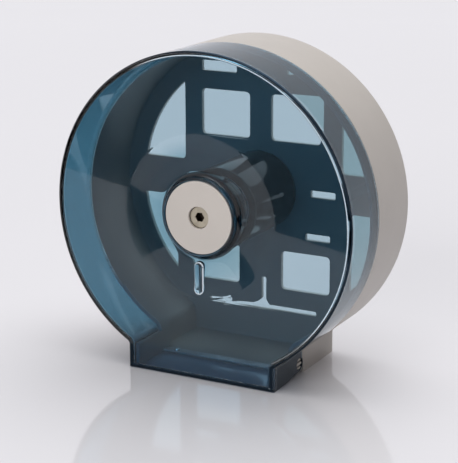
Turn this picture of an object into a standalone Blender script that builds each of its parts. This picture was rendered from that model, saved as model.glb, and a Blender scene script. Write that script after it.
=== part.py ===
"""Round jumbo tissue dispenser, standing on its foot: a drum housing that screws to a wall,
a tinted cover hinged at the foot, a key lock at the hub and a spool that carries the roll.

Metres, +Z up, +Y towards the wall. The origin is under the middle of the foot."""

import math

import bmesh
import bpy
from mathutils import Vector

# Driving sizes of the whole dispenser
DEPTH = 0.1165
DRUM_RADIUS = 0.135
DRUM_LIFT = 0.0035
HUB_HEIGHT = DRUM_RADIUS + DRUM_LIFT
FOOT_HALF_WIDTH = 0.0683
FOOT_FILLET = 0.0035
COVER_DEPTH = 0.0540
WALL = 0.0030
GAP = 0.0003
MERGE_DISTANCE = 0.000005
OVERRUN = 0.0030
ARC_STEPS = 60
ROUND_STEPS = 36
SMALL_STEPS = 14
EDGE_STEPS = 2
FLAT_ANGLE = 0.5
SHARP_ANGLE = 35
CORNER_ANGLE = 20
EDGE_ANGLE = 60
FILLET_STEPS = 4
END_STEPS = 10
HEX_SIDES = 6

FRONT = -DEPTH / 2
BACK = DEPTH / 2
COVER_BACK = FRONT + COVER_DEPTH
SEAM = COVER_BACK + GAP

# Hinge of the cover, through the foot's two side walls
HINGE_BACK = 0.0488
HINGE_HEIGHT = 0.0094
BOSS_RADIUS = 0.0047
EYE_WALL = 0.0016
BOSS_GROOVE = 0.0006
BOSS_GROOVE_PITCH = 0.0031
BOSS_GROOVE_ROWS = (-0.5, 0.5)
RELIEF_REACH = 0.0094
RELIEF_TOP = 75
RELIEF_END = -10
HINGE_Y = FRONT + HINGE_BACK
EYE_HOLE = BOSS_RADIUS + GAP
EYE_RADIUS = EYE_HOLE + EYE_WALL

# Rear housing
BACK_PLATE = 0.0045
LIP_REACH = 0.0105
LIP_WALL = 0.0025
LIP_ROOT = 0.0032
LIP_STEP = 0.0018
LIP_LIFT = 0.0005
LIP_SWING_ROOM = 0.0007
FLOOR = 0.0025
FLOOR_REACH = 0.0083
LIP_STEP_HEIGHT_SHARE = -0.64
LIP_INSET = WALL + GAP
LIP_FRONT = SEAM - LIP_REACH
PLATE_FRONT = BACK - BACK_PLATE
FLOOR_FRONT = SEAM - FLOOR_REACH

# Openings of the back plate, in shares of the drum's radius from the hub
WINDOW_SHARES = ((0.076, 0.422, 0.326, 0.622), (0.152, 0.493, -0.648, -0.393))
WALL_SLOT_SHARES = (
    (0.170, 0.419, 0.741, 0.815),
    (0.356, 0.526, -0.015, 0.030),
    (0.322, 0.493, -0.300, -0.256),
)
UPPER_QUARTER_SHARES = (0.548, 0.147, 0.856)
LOWER_QUARTER_SHARES = (0.615, -0.104, 0.862)
DRAIN_SHARES = (
    (-0.378, -0.774), (-0.204, -0.763), (-0.215, -0.785), (-0.089, -0.770), (-0.030, -0.765),
    (0.010, -0.733), (0.010, -0.585), (0.042, -0.585), (0.042, -0.733), (0.065, -0.769),
    (0.400, -0.770), (0.404, -0.800), (-0.089, -0.800), (-0.281, -0.819), (-0.267, -0.800),
    (-0.367, -0.807),
)
WINDOW_ROUND_SHARE = 0.032
SLOT_ROUND_SHARE = 0.010
CORNER_SHARE = 0.45
CORNER_SHARES = (0, 0.33, 0.67, 1)
QUARTER_STEPS = 12

# Spindle post, its screws and the keeper plate that the lock turns behind
POST_RADIUS = 0.0210
POST_BORE = 0.0152
POST_FRONT_BACK = 0.0326
POST_FLANGE_RADIUS = 0.0295
POST_FLANGE = 0.0032
SHOULDER_RADIUS = 0.0255
SHOULDER_LENGTH = 0.0090
CLIP_GROOVE = 0.0008
POST_SCREWS = 3
POST_SCREW_CIRCLE = 0.0245
POST_SCREW_RADIUS = 0.0016
POST_SCREW_HEAD = 0.0036
POST_SCREW_HEAD_HEIGHT = 0.0022
POST_SCREW_LENGTH = 0.0085
HEAD_SINK = 0.0026
KEEPER_THICKNESS = 0.0015
KEEPER_MARGIN = 0.0005
KEEPER_SLOT_HALF_HEIGHT = 0.0062
KEEPER_THROAT_GAP = 0.0014
KEEPER_SCREW_RADIUS = 0.0012
KEEPER_SCREW_HEAD = 0.0024
KEEPER_SCREW_HEAD_HEIGHT = 0.0014
KEEPER_SCREW_LENGTH = 0.0080
POST_FRONT = FRONT + POST_FRONT_BACK
POST_BACK = PLATE_FRONT - GAP
KEEPER_BACK = POST_FRONT - GAP
KEEPER_FRONT = KEEPER_BACK - KEEPER_THICKNESS
KEEPER_SCREW_CIRCLE = (POST_RADIUS + POST_BORE) / 2

# Roll spool and its bushes
SPOOL_FRONT_BACK = 0.0380
SPOOL_FRONT_RADIUS = 0.0340
SPOOL_BACK_RADIUS = 0.0345
SPOOL_WALL = 0.0026
SPOOL_WEB = 0.0034
SPOOL_EDGE = 0.0012
SPOOL_RUNNING_GAP = 0.0006
BUSH_WALL = 0.0033
BUSH_LENGTH = 0.0090
BUSH_FLANGE = 0.0009
BUSH_FLANGE_WIDTH = 0.0030
RETAINER_THICKNESS = 0.0016
RETAINER_WIDTH = 0.0045
RETAINER_MOUTH = 0.0120
SPOOL_FRONT = FRONT + SPOOL_FRONT_BACK
SPOOL_BACK = PLATE_FRONT - SPOOL_RUNNING_GAP
BUSH_BORE = POST_RADIUS + GAP
BUSH_RADIUS = BUSH_BORE + BUSH_WALL
WEB_BORE = BUSH_RADIUS + GAP
RETAINER_BACK = SPOOL_FRONT - GAP - BUSH_FLANGE - GAP
SHOULDER_FRONT = POST_BACK - POST_FLANGE - SHOULDER_LENGTH
REAR_WEB_BACK = SHOULDER_FRONT - GAP - BUSH_FLANGE - GAP

# Tear bar on the floor's front edge
TEAR_THICKNESS = 0.0008
TEAR_DEPTH = 0.0090
TEAR_OVERHANG = 0.0012
TOOTH_DEPTH = 0.0012
TEETH = 36
TEAR_SCREW_RADIUS = 0.0012
TEAR_SCREW_HEAD = 0.0024
TEAR_SCREW_HEAD_HEIGHT = 0.0013
TEAR_SCREW_END = 0.0010
TEAR_SCREW_PLACE_SHARE = 0.80
TEAR_SCREW_LINE = FLOOR_FRONT - TEAR_OVERHANG - TOOTH_DEPTH + TEAR_DEPTH / 2

# Front cover: plate, rim, dish and collar
RIM_RAISE = 0.0012
RIM_WIDTH = 0.0040
RIM_ROUND = 0.0022
DISH_RADIUS = 0.0690
DISH_LEDGE = 0.0003
DISH_DEPTH = 0.0040
COLLAR_RADIUS = 0.0330
COLLAR_END_RADIUS = 0.0302
COLLAR_BORE = 0.0278
COLLAR_BACK = 0.0300
COLLAR_FOOT = 0.0040
COLLAR_DRAFT = 0.0010
DISH_EDGE = 0.0012
FOOT_RISE_STEPS = 8
CAP_SEAT = 0.0036
WEB_THICKNESS = 0.0030
BARREL_HEAD_SEAT = 0.0052
PILL_PLACE = -0.0011
PILL_HALF_WIDTH = 0.0045
PILL_TOP = -0.0374
PILL_BOTTOM = -0.0655
PILL_FRONT = 0.0012
PILL_ROUND = 0.0012
FOOT_RISE_START = 0.0200
DISH_FRONT = FRONT + RIM_RAISE + DISH_LEDGE

# Cap, lock barrel, cam and clip
CAP_RADIUS = 0.0304
CAP_FRONT = 0.0003
CAP_EDGE = 0.0008
BARREL_HEAD_RADIUS = 0.0088
BARREL_RADIUS = 0.0070
BARREL_FRONT = 0.0026
BARREL_EDGE = 0.0005
SOCKET_ACROSS_FLATS = 0.0072
SOCKET_DEPTH = 0.0080
BARREL_TRAVEL_GAP = 0.0010
LOCK_CLIP_WIDTH = 0.0045
LOCK_CLIP_THICKNESS = 0.0012
LOCK_CLIP_GROOVE = 0.0008
LOCK_CLIP_MOUTH = 0.0090
CAM_REACH = 0.0135
CAM_HALF_HEIGHT = 0.0045
CAM_THICKNESS = 0.0030
CAM_SCREW_RADIUS = 0.0017
CAM_SCREW_HEAD = 0.0054
CAM_SCREW_HEAD_HEIGHT = 0.0022
CAM_SCREW_LENGTH = 0.0120
TENON_HALF = 0.0034
CAP_ROOM = 0.0005
CAM_FRONT = KEEPER_BACK + BARREL_TRAVEL_GAP
BARREL_BACK = CAM_FRONT - GAP
WEB_BACK = FRONT + CAP_SEAT + WEB_THICKNESS
LOCK_CLIP_FRONT = WEB_BACK + GAP

HINGE = Vector((0, HINGE_Y, HINGE_HEIGHT))
LOCK_AXIS = Vector((0, FRONT, HUB_HEIGHT))
SPOOL_AXIS = Vector((0, SPOOL_FRONT, HUB_HEIGHT))


def new_collection(name):
    """A collection in the scene."""
    collection = bpy.data.collections.new(name)
    bpy.context.scene.collection.children.link(collection)
    return collection


def clear_scene():
    """Removes every object of the scene that the script starts in."""
    for thing in list(bpy.data.objects):
        bpy.data.objects.remove(thing, do_unlink=True)


clear_scene()
PARTS = new_collection("jumbo_tissue_dispenser")
CUTTERS = new_collection("cutters")
SHELLS = ("rear_housing", "front_cover")


def plastic(name, colour, roughness, metallic=0, transmission=0):
    """A Principled material."""
    material = bpy.data.materials.new(name)
    material.use_nodes = True
    shader = material.node_tree.nodes["Principled BSDF"]
    shader.inputs["Base Color"].default_value = (*colour, 1)
    shader.inputs["Roughness"].default_value = roughness
    shader.inputs["Metallic"].default_value = metallic
    shader.inputs["Transmission Weight"].default_value = transmission
    return material


def adopt(mesh, name, material):
    """A new object of the part, shaded smooth except at its sharp edges."""
    thing = bpy.data.objects.new(name, mesh)
    PARTS.objects.link(thing)
    mesh.materials.clear()
    mesh.materials.append(material)
    mesh.shade_smooth()
    mesh.set_sharp_from_angle(angle=math.radians(SHARP_ANGLE))
    return thing


def as_cutter(thing):
    """Sends a helper to the cutters, out of every render."""
    for collection in list(thing.users_collection):
        collection.objects.unlink(thing)
    CUTTERS.objects.link(thing)
    thing.hide_render = True
    thing.display_type = "WIRE"
    return thing


def combine(thing, helper, operation):
    """Adds one Boolean step to thing. The exact solver opens seams in the two long shells."""
    step = thing.modifiers.new(operation.lower(), "BOOLEAN")
    step.object = as_cutter(helper)
    step.operation = operation
    step.solver = "MANIFOLD" if thing.name in SHELLS else "EXACT"


def cut(thing, *helpers):
    """Takes the helpers' shapes out of thing."""
    for helper in helpers:
        combine(thing, helper, "DIFFERENCE")


def join(thing, *helpers):
    """Adds the helpers' shapes to thing."""
    for helper in helpers:
        combine(thing, helper, "UNION")


def arc(centre_x, centre_z, radius, start, end, steps):
    """Points of an arc in the X-Z plane, from one angle to another."""
    turn = end - start
    angles = [start + turn * step / steps for step in range(steps + 1)]
    return [(centre_x + radius * math.cos(a), centre_z + radius * math.sin(a)) for a in angles]


def filled(name, outlines, thickness):
    """A flat curve object, filled between the outlines and extruded either way."""
    curve = bpy.data.curves.new(name, "CURVE")
    curve.dimensions = "2D"
    curve.fill_mode = "BOTH"
    curve.extrude = thickness / 2
    for outline in outlines:
        spline = curve.splines.new("POLY")
        spline.points.add(len(outline) - 1)
        for point, (across, along) in zip(spline.points, outline):
            point.co = (across, along, 0, 1)
        spline.use_cyclic_u = True
    return bpy.data.objects.new(name + "_curve", curve)


def flat_piece(name, outlines, front, back, material):
    """A plate across the Y axis, from front to back, filled between outlines of (x, z) points."""
    flat = filled(name, outlines, back - front)
    flat.rotation_euler = (math.pi / 2, 0, 0)
    flat.location = (0, (front + back) / 2, 0)
    return settled(flat, name, material)


def side_piece(name, outlines, left, right, material):
    """A plate across the X axis, from left to right, filled between outlines of (y, z) points."""
    flat = filled(name, outlines, right - left)
    flat.rotation_euler = (math.pi / 2, 0, math.pi / 2)
    flat.location = ((left + right) / 2, 0, 0)
    return settled(flat, name, material)


def level_piece(name, outlines, bottom, top, material):
    """A plate across the Z axis, from bottom to top, filled between outlines of (x, y) points."""
    flat = filled(name, outlines, top - bottom)
    flat.location = (0, 0, (bottom + top) / 2)
    return settled(flat, name, material)


def settled(flat, name, material):
    """Turns a filled curve into a closed mesh object that stands where the curve stood."""
    bpy.context.scene.collection.objects.link(flat)
    bpy.context.view_layer.update()
    graph = bpy.context.evaluated_depsgraph_get()
    mesh = bpy.data.meshes.new_from_object(flat.evaluated_get(graph))
    mesh.transform(flat.matrix_world)
    work = bmesh.new()
    work.from_mesh(mesh)
    bmesh.ops.remove_doubles(work, verts=work.verts, dist=MERGE_DISTANCE)
    bmesh.ops.dissolve_limit(
        work, angle_limit=math.radians(FLAT_ANGLE), verts=work.verts, edges=work.edges
    )
    bmesh.ops.recalc_face_normals(work, faces=work.faces)
    work.to_mesh(mesh)
    work.free()
    bpy.data.objects.remove(flat, do_unlink=True)
    return adopt(mesh, name, material)


def turned_piece(name, profile, centre, steps, material):
    """A body turned about the Y line through centre. The profile's (radius, y) points run down
    the outer side from the back to the front, and close up the bore or end on the axis."""
    on_axis = [abs(radius) < MERGE_DISTANCE for radius, _ in profile]
    mesh = bpy.data.meshes.new(name)
    points = [(radius, 0, y - centre.y) for radius, y in profile]
    edges = [(i, i + 1) for i in range(len(points) - 1)]
    if not any(on_axis):
        edges.append((len(points) - 1, 0))
    mesh.from_pydata(points, edges, [])
    thing = adopt(mesh, name, material)
    thing.rotation_euler = (-math.pi / 2, 0, 0)
    thing.location = centre
    screw = thing.modifiers.new("turn", "SCREW")
    screw.axis = "Z"
    screw.steps = steps
    screw.render_steps = steps
    screw.use_merge_vertices = True
    screw.merge_threshold = MERGE_DISTANCE
    screw.use_smooth_shade = True
    return thing


def cross_cylinder(name, radius, left, right, centre, steps, material):
    """A cylinder along X through centre, from left to right."""
    mesh = bpy.data.meshes.new(name)
    work = bmesh.new()
    bmesh.ops.create_cone(
        work, cap_ends=True, segments=steps, radius1=radius, radius2=radius, depth=right - left
    )
    work.to_mesh(mesh)
    work.free()
    thing = adopt(mesh, name, material)
    thing.rotation_euler = (0, math.pi / 2, 0)
    thing.location = ((left + right) / 2, centre.y, centre.z)
    return thing


def rod(name, radius, front, back, x, z, steps, material):
    """A cylinder along Y, from front to back."""
    mesh = bpy.data.meshes.new(name)
    work = bmesh.new()
    bmesh.ops.create_cone(
        work, cap_ends=True, segments=steps, radius1=radius, radius2=radius, depth=back - front
    )
    work.to_mesh(mesh)
    work.free()
    thing = adopt(mesh, name, material)
    thing.rotation_euler = (-math.pi / 2, 0, 0)
    thing.location = (x, (front + back) / 2, z)
    return thing


def block(name, low, high, material):
    """A box between two corners."""
    mesh = bpy.data.meshes.new(name)
    work = bmesh.new()
    bmesh.ops.create_cube(work, size=1)
    size = [b - a for a, b in zip(low, high)]
    middle = [(a + b) / 2 for a, b in zip(low, high)]
    bmesh.ops.scale(work, vec=size, verts=work.verts)
    bmesh.ops.translate(work, vec=middle, verts=work.verts)
    work.to_mesh(mesh)
    work.free()
    return adopt(mesh, name, material)


def softened(corners, reach):
    """The closed outline through corners, each corner turned into a short curve."""
    points = []
    for place, corner in enumerate(corners):
        here = Vector(corner)
        before = Vector(corners[place - 1])
        after = Vector(corners[(place + 1) % len(corners)])
        bend = (here - before).angle(after - here)
        if bend < math.radians(CORNER_ANGLE):
            points.append(tuple(corner))
            continue
        ends = []
        for other in (before, after):
            side = other - here
            ends.append(here + side.normalized() * min(reach, side.length * CORNER_SHARE))
        for share in CORNER_SHARES:
            point = ends[0] * (1 - share) ** 2 + here * 2 * share * (1 - share) + ends[1] * share**2
            points.append(tuple(point))
    return points


def keyhole(inset, foot_bottom, drum_inset=0):
    """The dispenser's front outline moved in by inset: the drum's circle above the foot's sides.
    The circle and its fillets can stand in further, by drum_inset."""
    radius = DRUM_RADIUS - inset - drum_inset
    half = FOOT_HALF_WIDTH - inset
    fillet = FOOT_FILLET + inset
    corner_x = half + fillet
    drop = math.sqrt((radius + fillet) ** 2 - corner_x**2)
    turn = -math.atan2(drop, corner_x)
    corner_z = HUB_HEIGHT - drop
    points = arc(0, HUB_HEIGHT, radius, turn, math.pi - turn, ARC_STEPS)
    points += arc(-corner_x, corner_z, fillet, -turn, 0, FILLET_STEPS)[1:]
    points += [(-half, foot_bottom), (half, foot_bottom)]
    points += arc(corner_x, corner_z, fillet, math.pi, math.pi + turn, FILLET_STEPS)[:-1]
    return points


def mirrored(points):
    """The outline on the other side of the hub, running the same way round."""
    return [(-x, z) for x, z in reversed(points)]


def rear_windows():
    """The outlines of every opening through the back plate."""
    def placed(points):
        return [(x * DRUM_RADIUS, HUB_HEIGHT + z * DRUM_RADIUS) for x, z in points]

    def both_sides(points, reach):
        outline = softened(placed(points), reach)
        return [outline, mirrored(outline)]

    window_round = WINDOW_ROUND_SHARE * DRUM_RADIUS
    slot_round = SLOT_ROUND_SHARE * DRUM_RADIUS
    outlines = []
    for left, right, low, high in WINDOW_SHARES:
        corners = [(left, low), (right, low), (right, high), (left, high)]
        outlines += both_sides(corners, window_round)
    for left, right, low, high in WALL_SLOT_SHARES:
        corners = [(left, low), (right, low), (right, high), (left, high)]
        outlines += both_sides(corners, slot_round)
    for inner, near, rim in (UPPER_QUARTER_SHARES, LOWER_QUARTER_SHARES):
        start = math.asin(near / rim)
        end = math.copysign(math.acos(inner / rim), near)
        corners = [(inner, near)] + arc(0, 0, rim, start, end, QUARTER_STEPS)
        outlines += both_sides(corners, window_round)
    outlines.append(softened(placed(DRAIN_SHARES), slot_round))
    return outlines


def hinge_relief():
    """The room behind the seam that the cover's hinge eye and lower corner swing through."""
    swing = EYE_RADIUS + GAP
    points = arc(HINGE.y, HINGE.z, swing, math.radians(RELIEF_TOP), math.radians(RELIEF_END), END_STEPS)
    points += [(HINGE.y + RELIEF_REACH, -OVERRUN), (HINGE.y, -OVERRUN)]
    return points


def stepped(radius, below):
    """The circle of that radius above the lip's step, joined to the outline below it."""
    step = math.asin(LIP_STEP_HEIGHT_SHARE)
    points = arc(0, HUB_HEIGHT, radius, step, math.pi - step, ARC_STEPS)
    lower = [point for point in below if point[1] < points[0][1]]
    left_start = next(place for place, point in enumerate(lower) if point[0] < 0)
    return points + lower[left_start:] + lower[:left_start]


def lip_outlines():
    """The lip's outer and inner outlines. Below its step the lip is thick, and its outer face
    stands in from the cover, whose back edge swings up there when it opens."""
    outer = keyhole(LIP_INSET, LIP_LIFT, LIP_SWING_ROOM)
    inner = keyhole(lip_inset(), FLOOR)
    close = DRUM_RADIUS - LIP_INSET
    return [stepped(close, outer), stepped(close - LIP_WALL, inner)]


def lip_inset():
    """How far the lower lip's inner face stands inside the drum's outline."""
    return LIP_INSET + LIP_WALL + LIP_STEP


def make_housing(beige):
    """The moulded drum: wall, lip, back plate with its windows, foot with its floor, hinge bosses."""
    body = flat_piece("rear_housing", [keyhole(0, 0)], SEAM, BACK, beige)
    ledge = SEAM + LIP_ROOT
    before = LIP_FRONT - OVERRUN
    cut(
        body,
        flat_piece("drum_bore", [keyhole(WALL, FLOOR - GAP)], before, PLATE_FRONT, beige),
        flat_piece("window_cuts", rear_windows(), PLATE_FRONT - OVERRUN, BACK + OVERRUN, beige),
    )
    root = [keyhole(WALL / 2, FLOOR / 3), keyhole(LIP_INSET + LIP_WALL / 2, FLOOR / 2)]
    join(
        body,
        flat_piece("lip_root", root, SEAM + GAP, ledge, beige),
        flat_piece("lip", lip_outlines(), LIP_FRONT, ledge - GAP, beige),
    )
    half = FOOT_HALF_WIDTH - lip_inset() + GAP
    low = (-half, before, -OVERRUN)
    high = (half, FLOOR_FRONT, FLOOR + OVERRUN)
    cut(body, block("floor_front_cut", low, high, beige))
    for side in (-1, 1):
        lip_face = side * (FOOT_HALF_WIDTH - LIP_INSET)
        outside = side * (FOOT_HALF_WIDTH + OVERRUN)
        left, right = sorted((lip_face, outside))
        cut(body, side_piece("hinge_relief", [hinge_relief()], left, right, beige))
        root = lip_face - side * LIP_WALL / 2
        tip = side * (FOOT_HALF_WIDTH - GAP)
        left, right = sorted((root, tip))
        boss = cross_cylinder("boss", BOSS_RADIUS, left, right, HINGE, ROUND_STEPS, beige)
        join(body, boss)
        groove_end = tip - side * BOSS_GROOVE
        left, right = sorted((groove_end, outside))
        for row in BOSS_GROOVE_ROWS:
            middle = HINGE.z + row * BOSS_GROOVE_PITCH
            low = (left, HINGE.y - BOSS_RADIUS - OVERRUN, middle - BOSS_GROOVE)
            high = (right, HINGE.y + BOSS_RADIUS + OVERRUN, middle + BOSS_GROOVE)
            cut(body, block("boss_groove", low, high, beige))
    hole = POST_SCREW_RADIUS + GAP
    sink = POST_SCREW_HEAD + GAP
    through = BACK + OVERRUN
    for x, z in screw_places():
        cut(body, rod("screw_hole", hole, PLATE_FRONT - OVERRUN, through, x, z, SMALL_STEPS, beige))
        cut(body, rod("screw_sink", sink, BACK - HEAD_SINK, through, x, z, SMALL_STEPS, beige))
    hole = TEAR_SCREW_RADIUS + GAP
    for x in tear_screw_places():
        cut(body, upright("tear_hole", hole, TEAR_SCREW_END - GAP, FLOOR + OVERRUN, x, beige))


def screw_places():
    """Where the post's screws stand round the hub."""
    places = []
    for number in range(POST_SCREWS):
        turn = math.pi / 2 + number * 2 * math.pi / POST_SCREWS
        x = POST_SCREW_CIRCLE * math.cos(turn)
        places.append((x, HUB_HEIGHT + POST_SCREW_CIRCLE * math.sin(turn)))
    return places


def keeper_screw_places():
    """The keeper's screws, above and below the lock."""
    return [(0, HUB_HEIGHT + side * KEEPER_SCREW_CIRCLE) for side in (-1, 1)]


def tear_half():
    """Half the tear bar's length, which fits between the foot's side lips."""
    return FOOT_HALF_WIDTH - lip_inset() - GAP


def tear_screw_places():
    """Where the tear bar's two screws stand along X."""
    return [side * tear_half() * TEAR_SCREW_PLACE_SHARE for side in (-1, 1)]


def upright(name, radius, bottom, top, x, material):
    """A small cylinder along Z on the tear bar's screw line."""
    mesh = bpy.data.meshes.new(name)
    work = bmesh.new()
    bmesh.ops.create_cone(
        work, cap_ends=True, segments=SMALL_STEPS, radius1=radius, radius2=radius, depth=top - bottom
    )
    work.to_mesh(mesh)
    work.free()
    thing = adopt(mesh, name, material)
    thing.location = (x, TEAR_SCREW_LINE, (bottom + top) / 2)
    return thing


def make_tear_bar(steel):
    """A toothed steel strip screwed on the floor's front edge, and its two screws."""
    half = tear_half()
    tip = FLOOR_FRONT - TEAR_OVERHANG - TOOTH_DEPTH
    pitch = 2 * half / TEETH
    outline = [(half, tip + TOOTH_DEPTH), (half, tip + TEAR_DEPTH), (-half, tip + TEAR_DEPTH)]
    outline.append((-half, tip + TOOTH_DEPTH))
    for tooth in range(TEETH):
        start = -half + tooth * pitch
        outline.append((start + pitch / 2, tip))
        if tooth < TEETH - 1:
            outline.append((start + pitch, tip + TOOTH_DEPTH))
    bottom = FLOOR + GAP
    hole = TEAR_SCREW_RADIUS + GAP
    outlines = [outline]
    for x in tear_screw_places():
        outlines.append(arc(x, TEAR_SCREW_LINE, hole, 0, 2 * math.pi, SMALL_STEPS)[:-1])
    level_piece("tear_bar", outlines, bottom, bottom + TEAR_THICKNESS, steel)
    seat = bottom + TEAR_THICKNESS + GAP
    for side, x in zip(("left", "right"), tear_screw_places()):
        name = f"tear_bar_screw_{side}"
        screw = upright(name, TEAR_SCREW_RADIUS, TEAR_SCREW_END, seat + GAP, x, steel)
        join(screw, upright("head", TEAR_SCREW_HEAD, seat, seat + TEAR_SCREW_HEAD_HEIGHT, x, steel))


def make_post(grey, steel):
    """The fixed post that the spool turns on, with its screws from behind and its retaining ring."""
    groove = POST_RADIUS - CLIP_GROOVE
    ring_front = RETAINER_BACK - RETAINER_THICKNESS
    profile = [
        (POST_FLANGE_RADIUS, POST_BACK),
        (POST_FLANGE_RADIUS, POST_BACK - POST_FLANGE),
        (SHOULDER_RADIUS, POST_BACK - POST_FLANGE),
        (SHOULDER_RADIUS, SHOULDER_FRONT),
        (POST_RADIUS, SHOULDER_FRONT),
        (POST_RADIUS, RETAINER_BACK + GAP),
        (groove, RETAINER_BACK + GAP),
        (groove, ring_front - GAP),
        (POST_RADIUS, ring_front - GAP),
        (POST_RADIUS, POST_FRONT),
        (POST_BORE, POST_FRONT),
        (POST_BORE, POST_BACK),
    ]
    post = turned_piece("spindle_post", profile, SPOOL_AXIS, ROUND_STEPS, grey)
    head_front = BACK - HEAD_SINK + GAP
    tip = head_front - POST_SCREW_LENGTH
    for number, (x, z) in enumerate(screw_places(), start=1):
        hole = POST_SCREW_RADIUS + GAP
        cut(post, rod("post_hole", hole, tip - GAP, POST_BACK + OVERRUN, x, z, SMALL_STEPS, grey))
        name = f"post_screw_{number}"
        head_back = head_front + POST_SCREW_HEAD_HEIGHT
        screw = rod(name, POST_SCREW_RADIUS, tip, head_front + GAP, x, z, SMALL_STEPS, steel)
        join(screw, rod("head", POST_SCREW_HEAD, head_front, head_back, x, z, SMALL_STEPS, steel))
    for x, z in keeper_screw_places():
        hole = KEEPER_SCREW_RADIUS + GAP
        end = KEEPER_FRONT - GAP + KEEPER_SCREW_LENGTH + GAP
        cut(post, rod("keeper_hole", hole, POST_FRONT - OVERRUN, end, x, z, SMALL_STEPS, grey))
    inner = groove + GAP
    outer = inner + RETAINER_WIDTH
    ring = [(outer, RETAINER_BACK), (outer, ring_front), (inner, ring_front), (inner, RETAINER_BACK)]
    retainer = turned_piece("spool_retaining_ring", ring, SPOOL_AXIS, ROUND_STEPS, steel)
    low = (-RETAINER_MOUTH / 2, ring_front - OVERRUN, HUB_HEIGHT - outer - OVERRUN)
    high = (RETAINER_MOUTH / 2, RETAINER_BACK + OVERRUN, HUB_HEIGHT)
    cut(retainer, block("ring_mouth", low, high, steel))


def make_keeper(steel):
    """The slotted plate on the post's front, which the lock's cam turns behind, and its screws."""
    reach = CAM_REACH + BARREL_TRAVEL_GAP
    throat = BARREL_RADIUS + KEEPER_THROAT_GAP
    rise = KEEPER_SLOT_HALF_HEIGHT
    half = math.sqrt(throat**2 - rise**2)
    turn = math.atan2(rise, half)
    slot = [(reach, HUB_HEIGHT + rise)]
    slot += arc(0, HUB_HEIGHT, throat, turn, math.pi - turn, ROUND_STEPS // 4)
    slot += [(-reach, HUB_HEIGHT + rise), (-reach, HUB_HEIGHT - rise)]
    slot += arc(0, HUB_HEIGHT, throat, math.pi + turn, 2 * math.pi - turn, ROUND_STEPS // 4)
    slot.append((reach, HUB_HEIGHT - rise))
    disc = arc(0, HUB_HEIGHT, POST_RADIUS - KEEPER_MARGIN, 0, 2 * math.pi, ROUND_STEPS)[:-1]
    outlines = [disc, slot]
    for x, z in keeper_screw_places():
        hole = KEEPER_SCREW_RADIUS + GAP
        outlines.append(arc(x, z, hole, 0, 2 * math.pi, SMALL_STEPS)[:-1])
    flat_piece("lock_keeper", outlines, KEEPER_FRONT, KEEPER_BACK, steel)
    seat = KEEPER_FRONT - GAP
    for side, (x, z) in zip(("lower", "upper"), keeper_screw_places()):
        name = f"keeper_screw_{side}"
        tip = seat + KEEPER_SCREW_LENGTH
        head_front = seat - KEEPER_SCREW_HEAD_HEIGHT
        screw = rod(name, KEEPER_SCREW_RADIUS, seat - GAP, tip, x, z, SMALL_STEPS, steel)
        join(screw, rod("head", KEEPER_SCREW_HEAD, head_front, seat, x, z, SMALL_STEPS, steel))


def make_spool(dark, nylon):
    """The hollow roll spool and the two flanged bushes that it turns on."""
    front_inner = SPOOL_FRONT_RADIUS - SPOOL_WALL
    back_inner = SPOOL_BACK_RADIUS - SPOOL_WALL
    round_start = SPOOL_FRONT_RADIUS - SPOOL_EDGE
    profile = [(SPOOL_BACK_RADIUS, SPOOL_BACK)]
    profile += arc(round_start, SPOOL_FRONT + SPOOL_EDGE, SPOOL_EDGE, 0, -math.pi / 2, EDGE_STEPS)
    profile += [
        (WEB_BORE, SPOOL_FRONT),
        (WEB_BORE, SPOOL_FRONT + SPOOL_WEB),
        (front_inner, SPOOL_FRONT + SPOOL_WEB),
        (back_inner, REAR_WEB_BACK - SPOOL_WEB),
        (WEB_BORE, REAR_WEB_BACK - SPOOL_WEB),
        (WEB_BORE, REAR_WEB_BACK),
        (back_inner, REAR_WEB_BACK),
        (back_inner, SPOOL_BACK),
    ]
    spool = turned_piece("roll_spool", profile, SPOOL_AXIS, ROUND_STEPS, dark)
    flange = BUSH_RADIUS + BUSH_FLANGE_WIDTH
    front_seat = SPOOL_FRONT - GAP
    front = [
        (BUSH_RADIUS, front_seat + BUSH_LENGTH),
        (BUSH_RADIUS, front_seat),
        (flange, front_seat),
        (flange, front_seat - BUSH_FLANGE),
        (BUSH_BORE, front_seat - BUSH_FLANGE),
        (BUSH_BORE, front_seat + BUSH_LENGTH),
    ]
    rear_seat = REAR_WEB_BACK + GAP
    rear = [
        (flange, rear_seat + BUSH_FLANGE),
        (flange, rear_seat),
        (BUSH_RADIUS, rear_seat),
        (BUSH_RADIUS, rear_seat - BUSH_LENGTH),
        (BUSH_BORE, rear_seat - BUSH_LENGTH),
        (BUSH_BORE, rear_seat + BUSH_FLANGE),
    ]
    return [
        spool,
        turned_piece("spool_bush_front", front, SPOOL_AXIS, ROUND_STEPS, nylon),
        turned_piece("spool_bush_rear", rear, SPOOL_AXIS, ROUND_STEPS, nylon),
    ]


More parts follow.
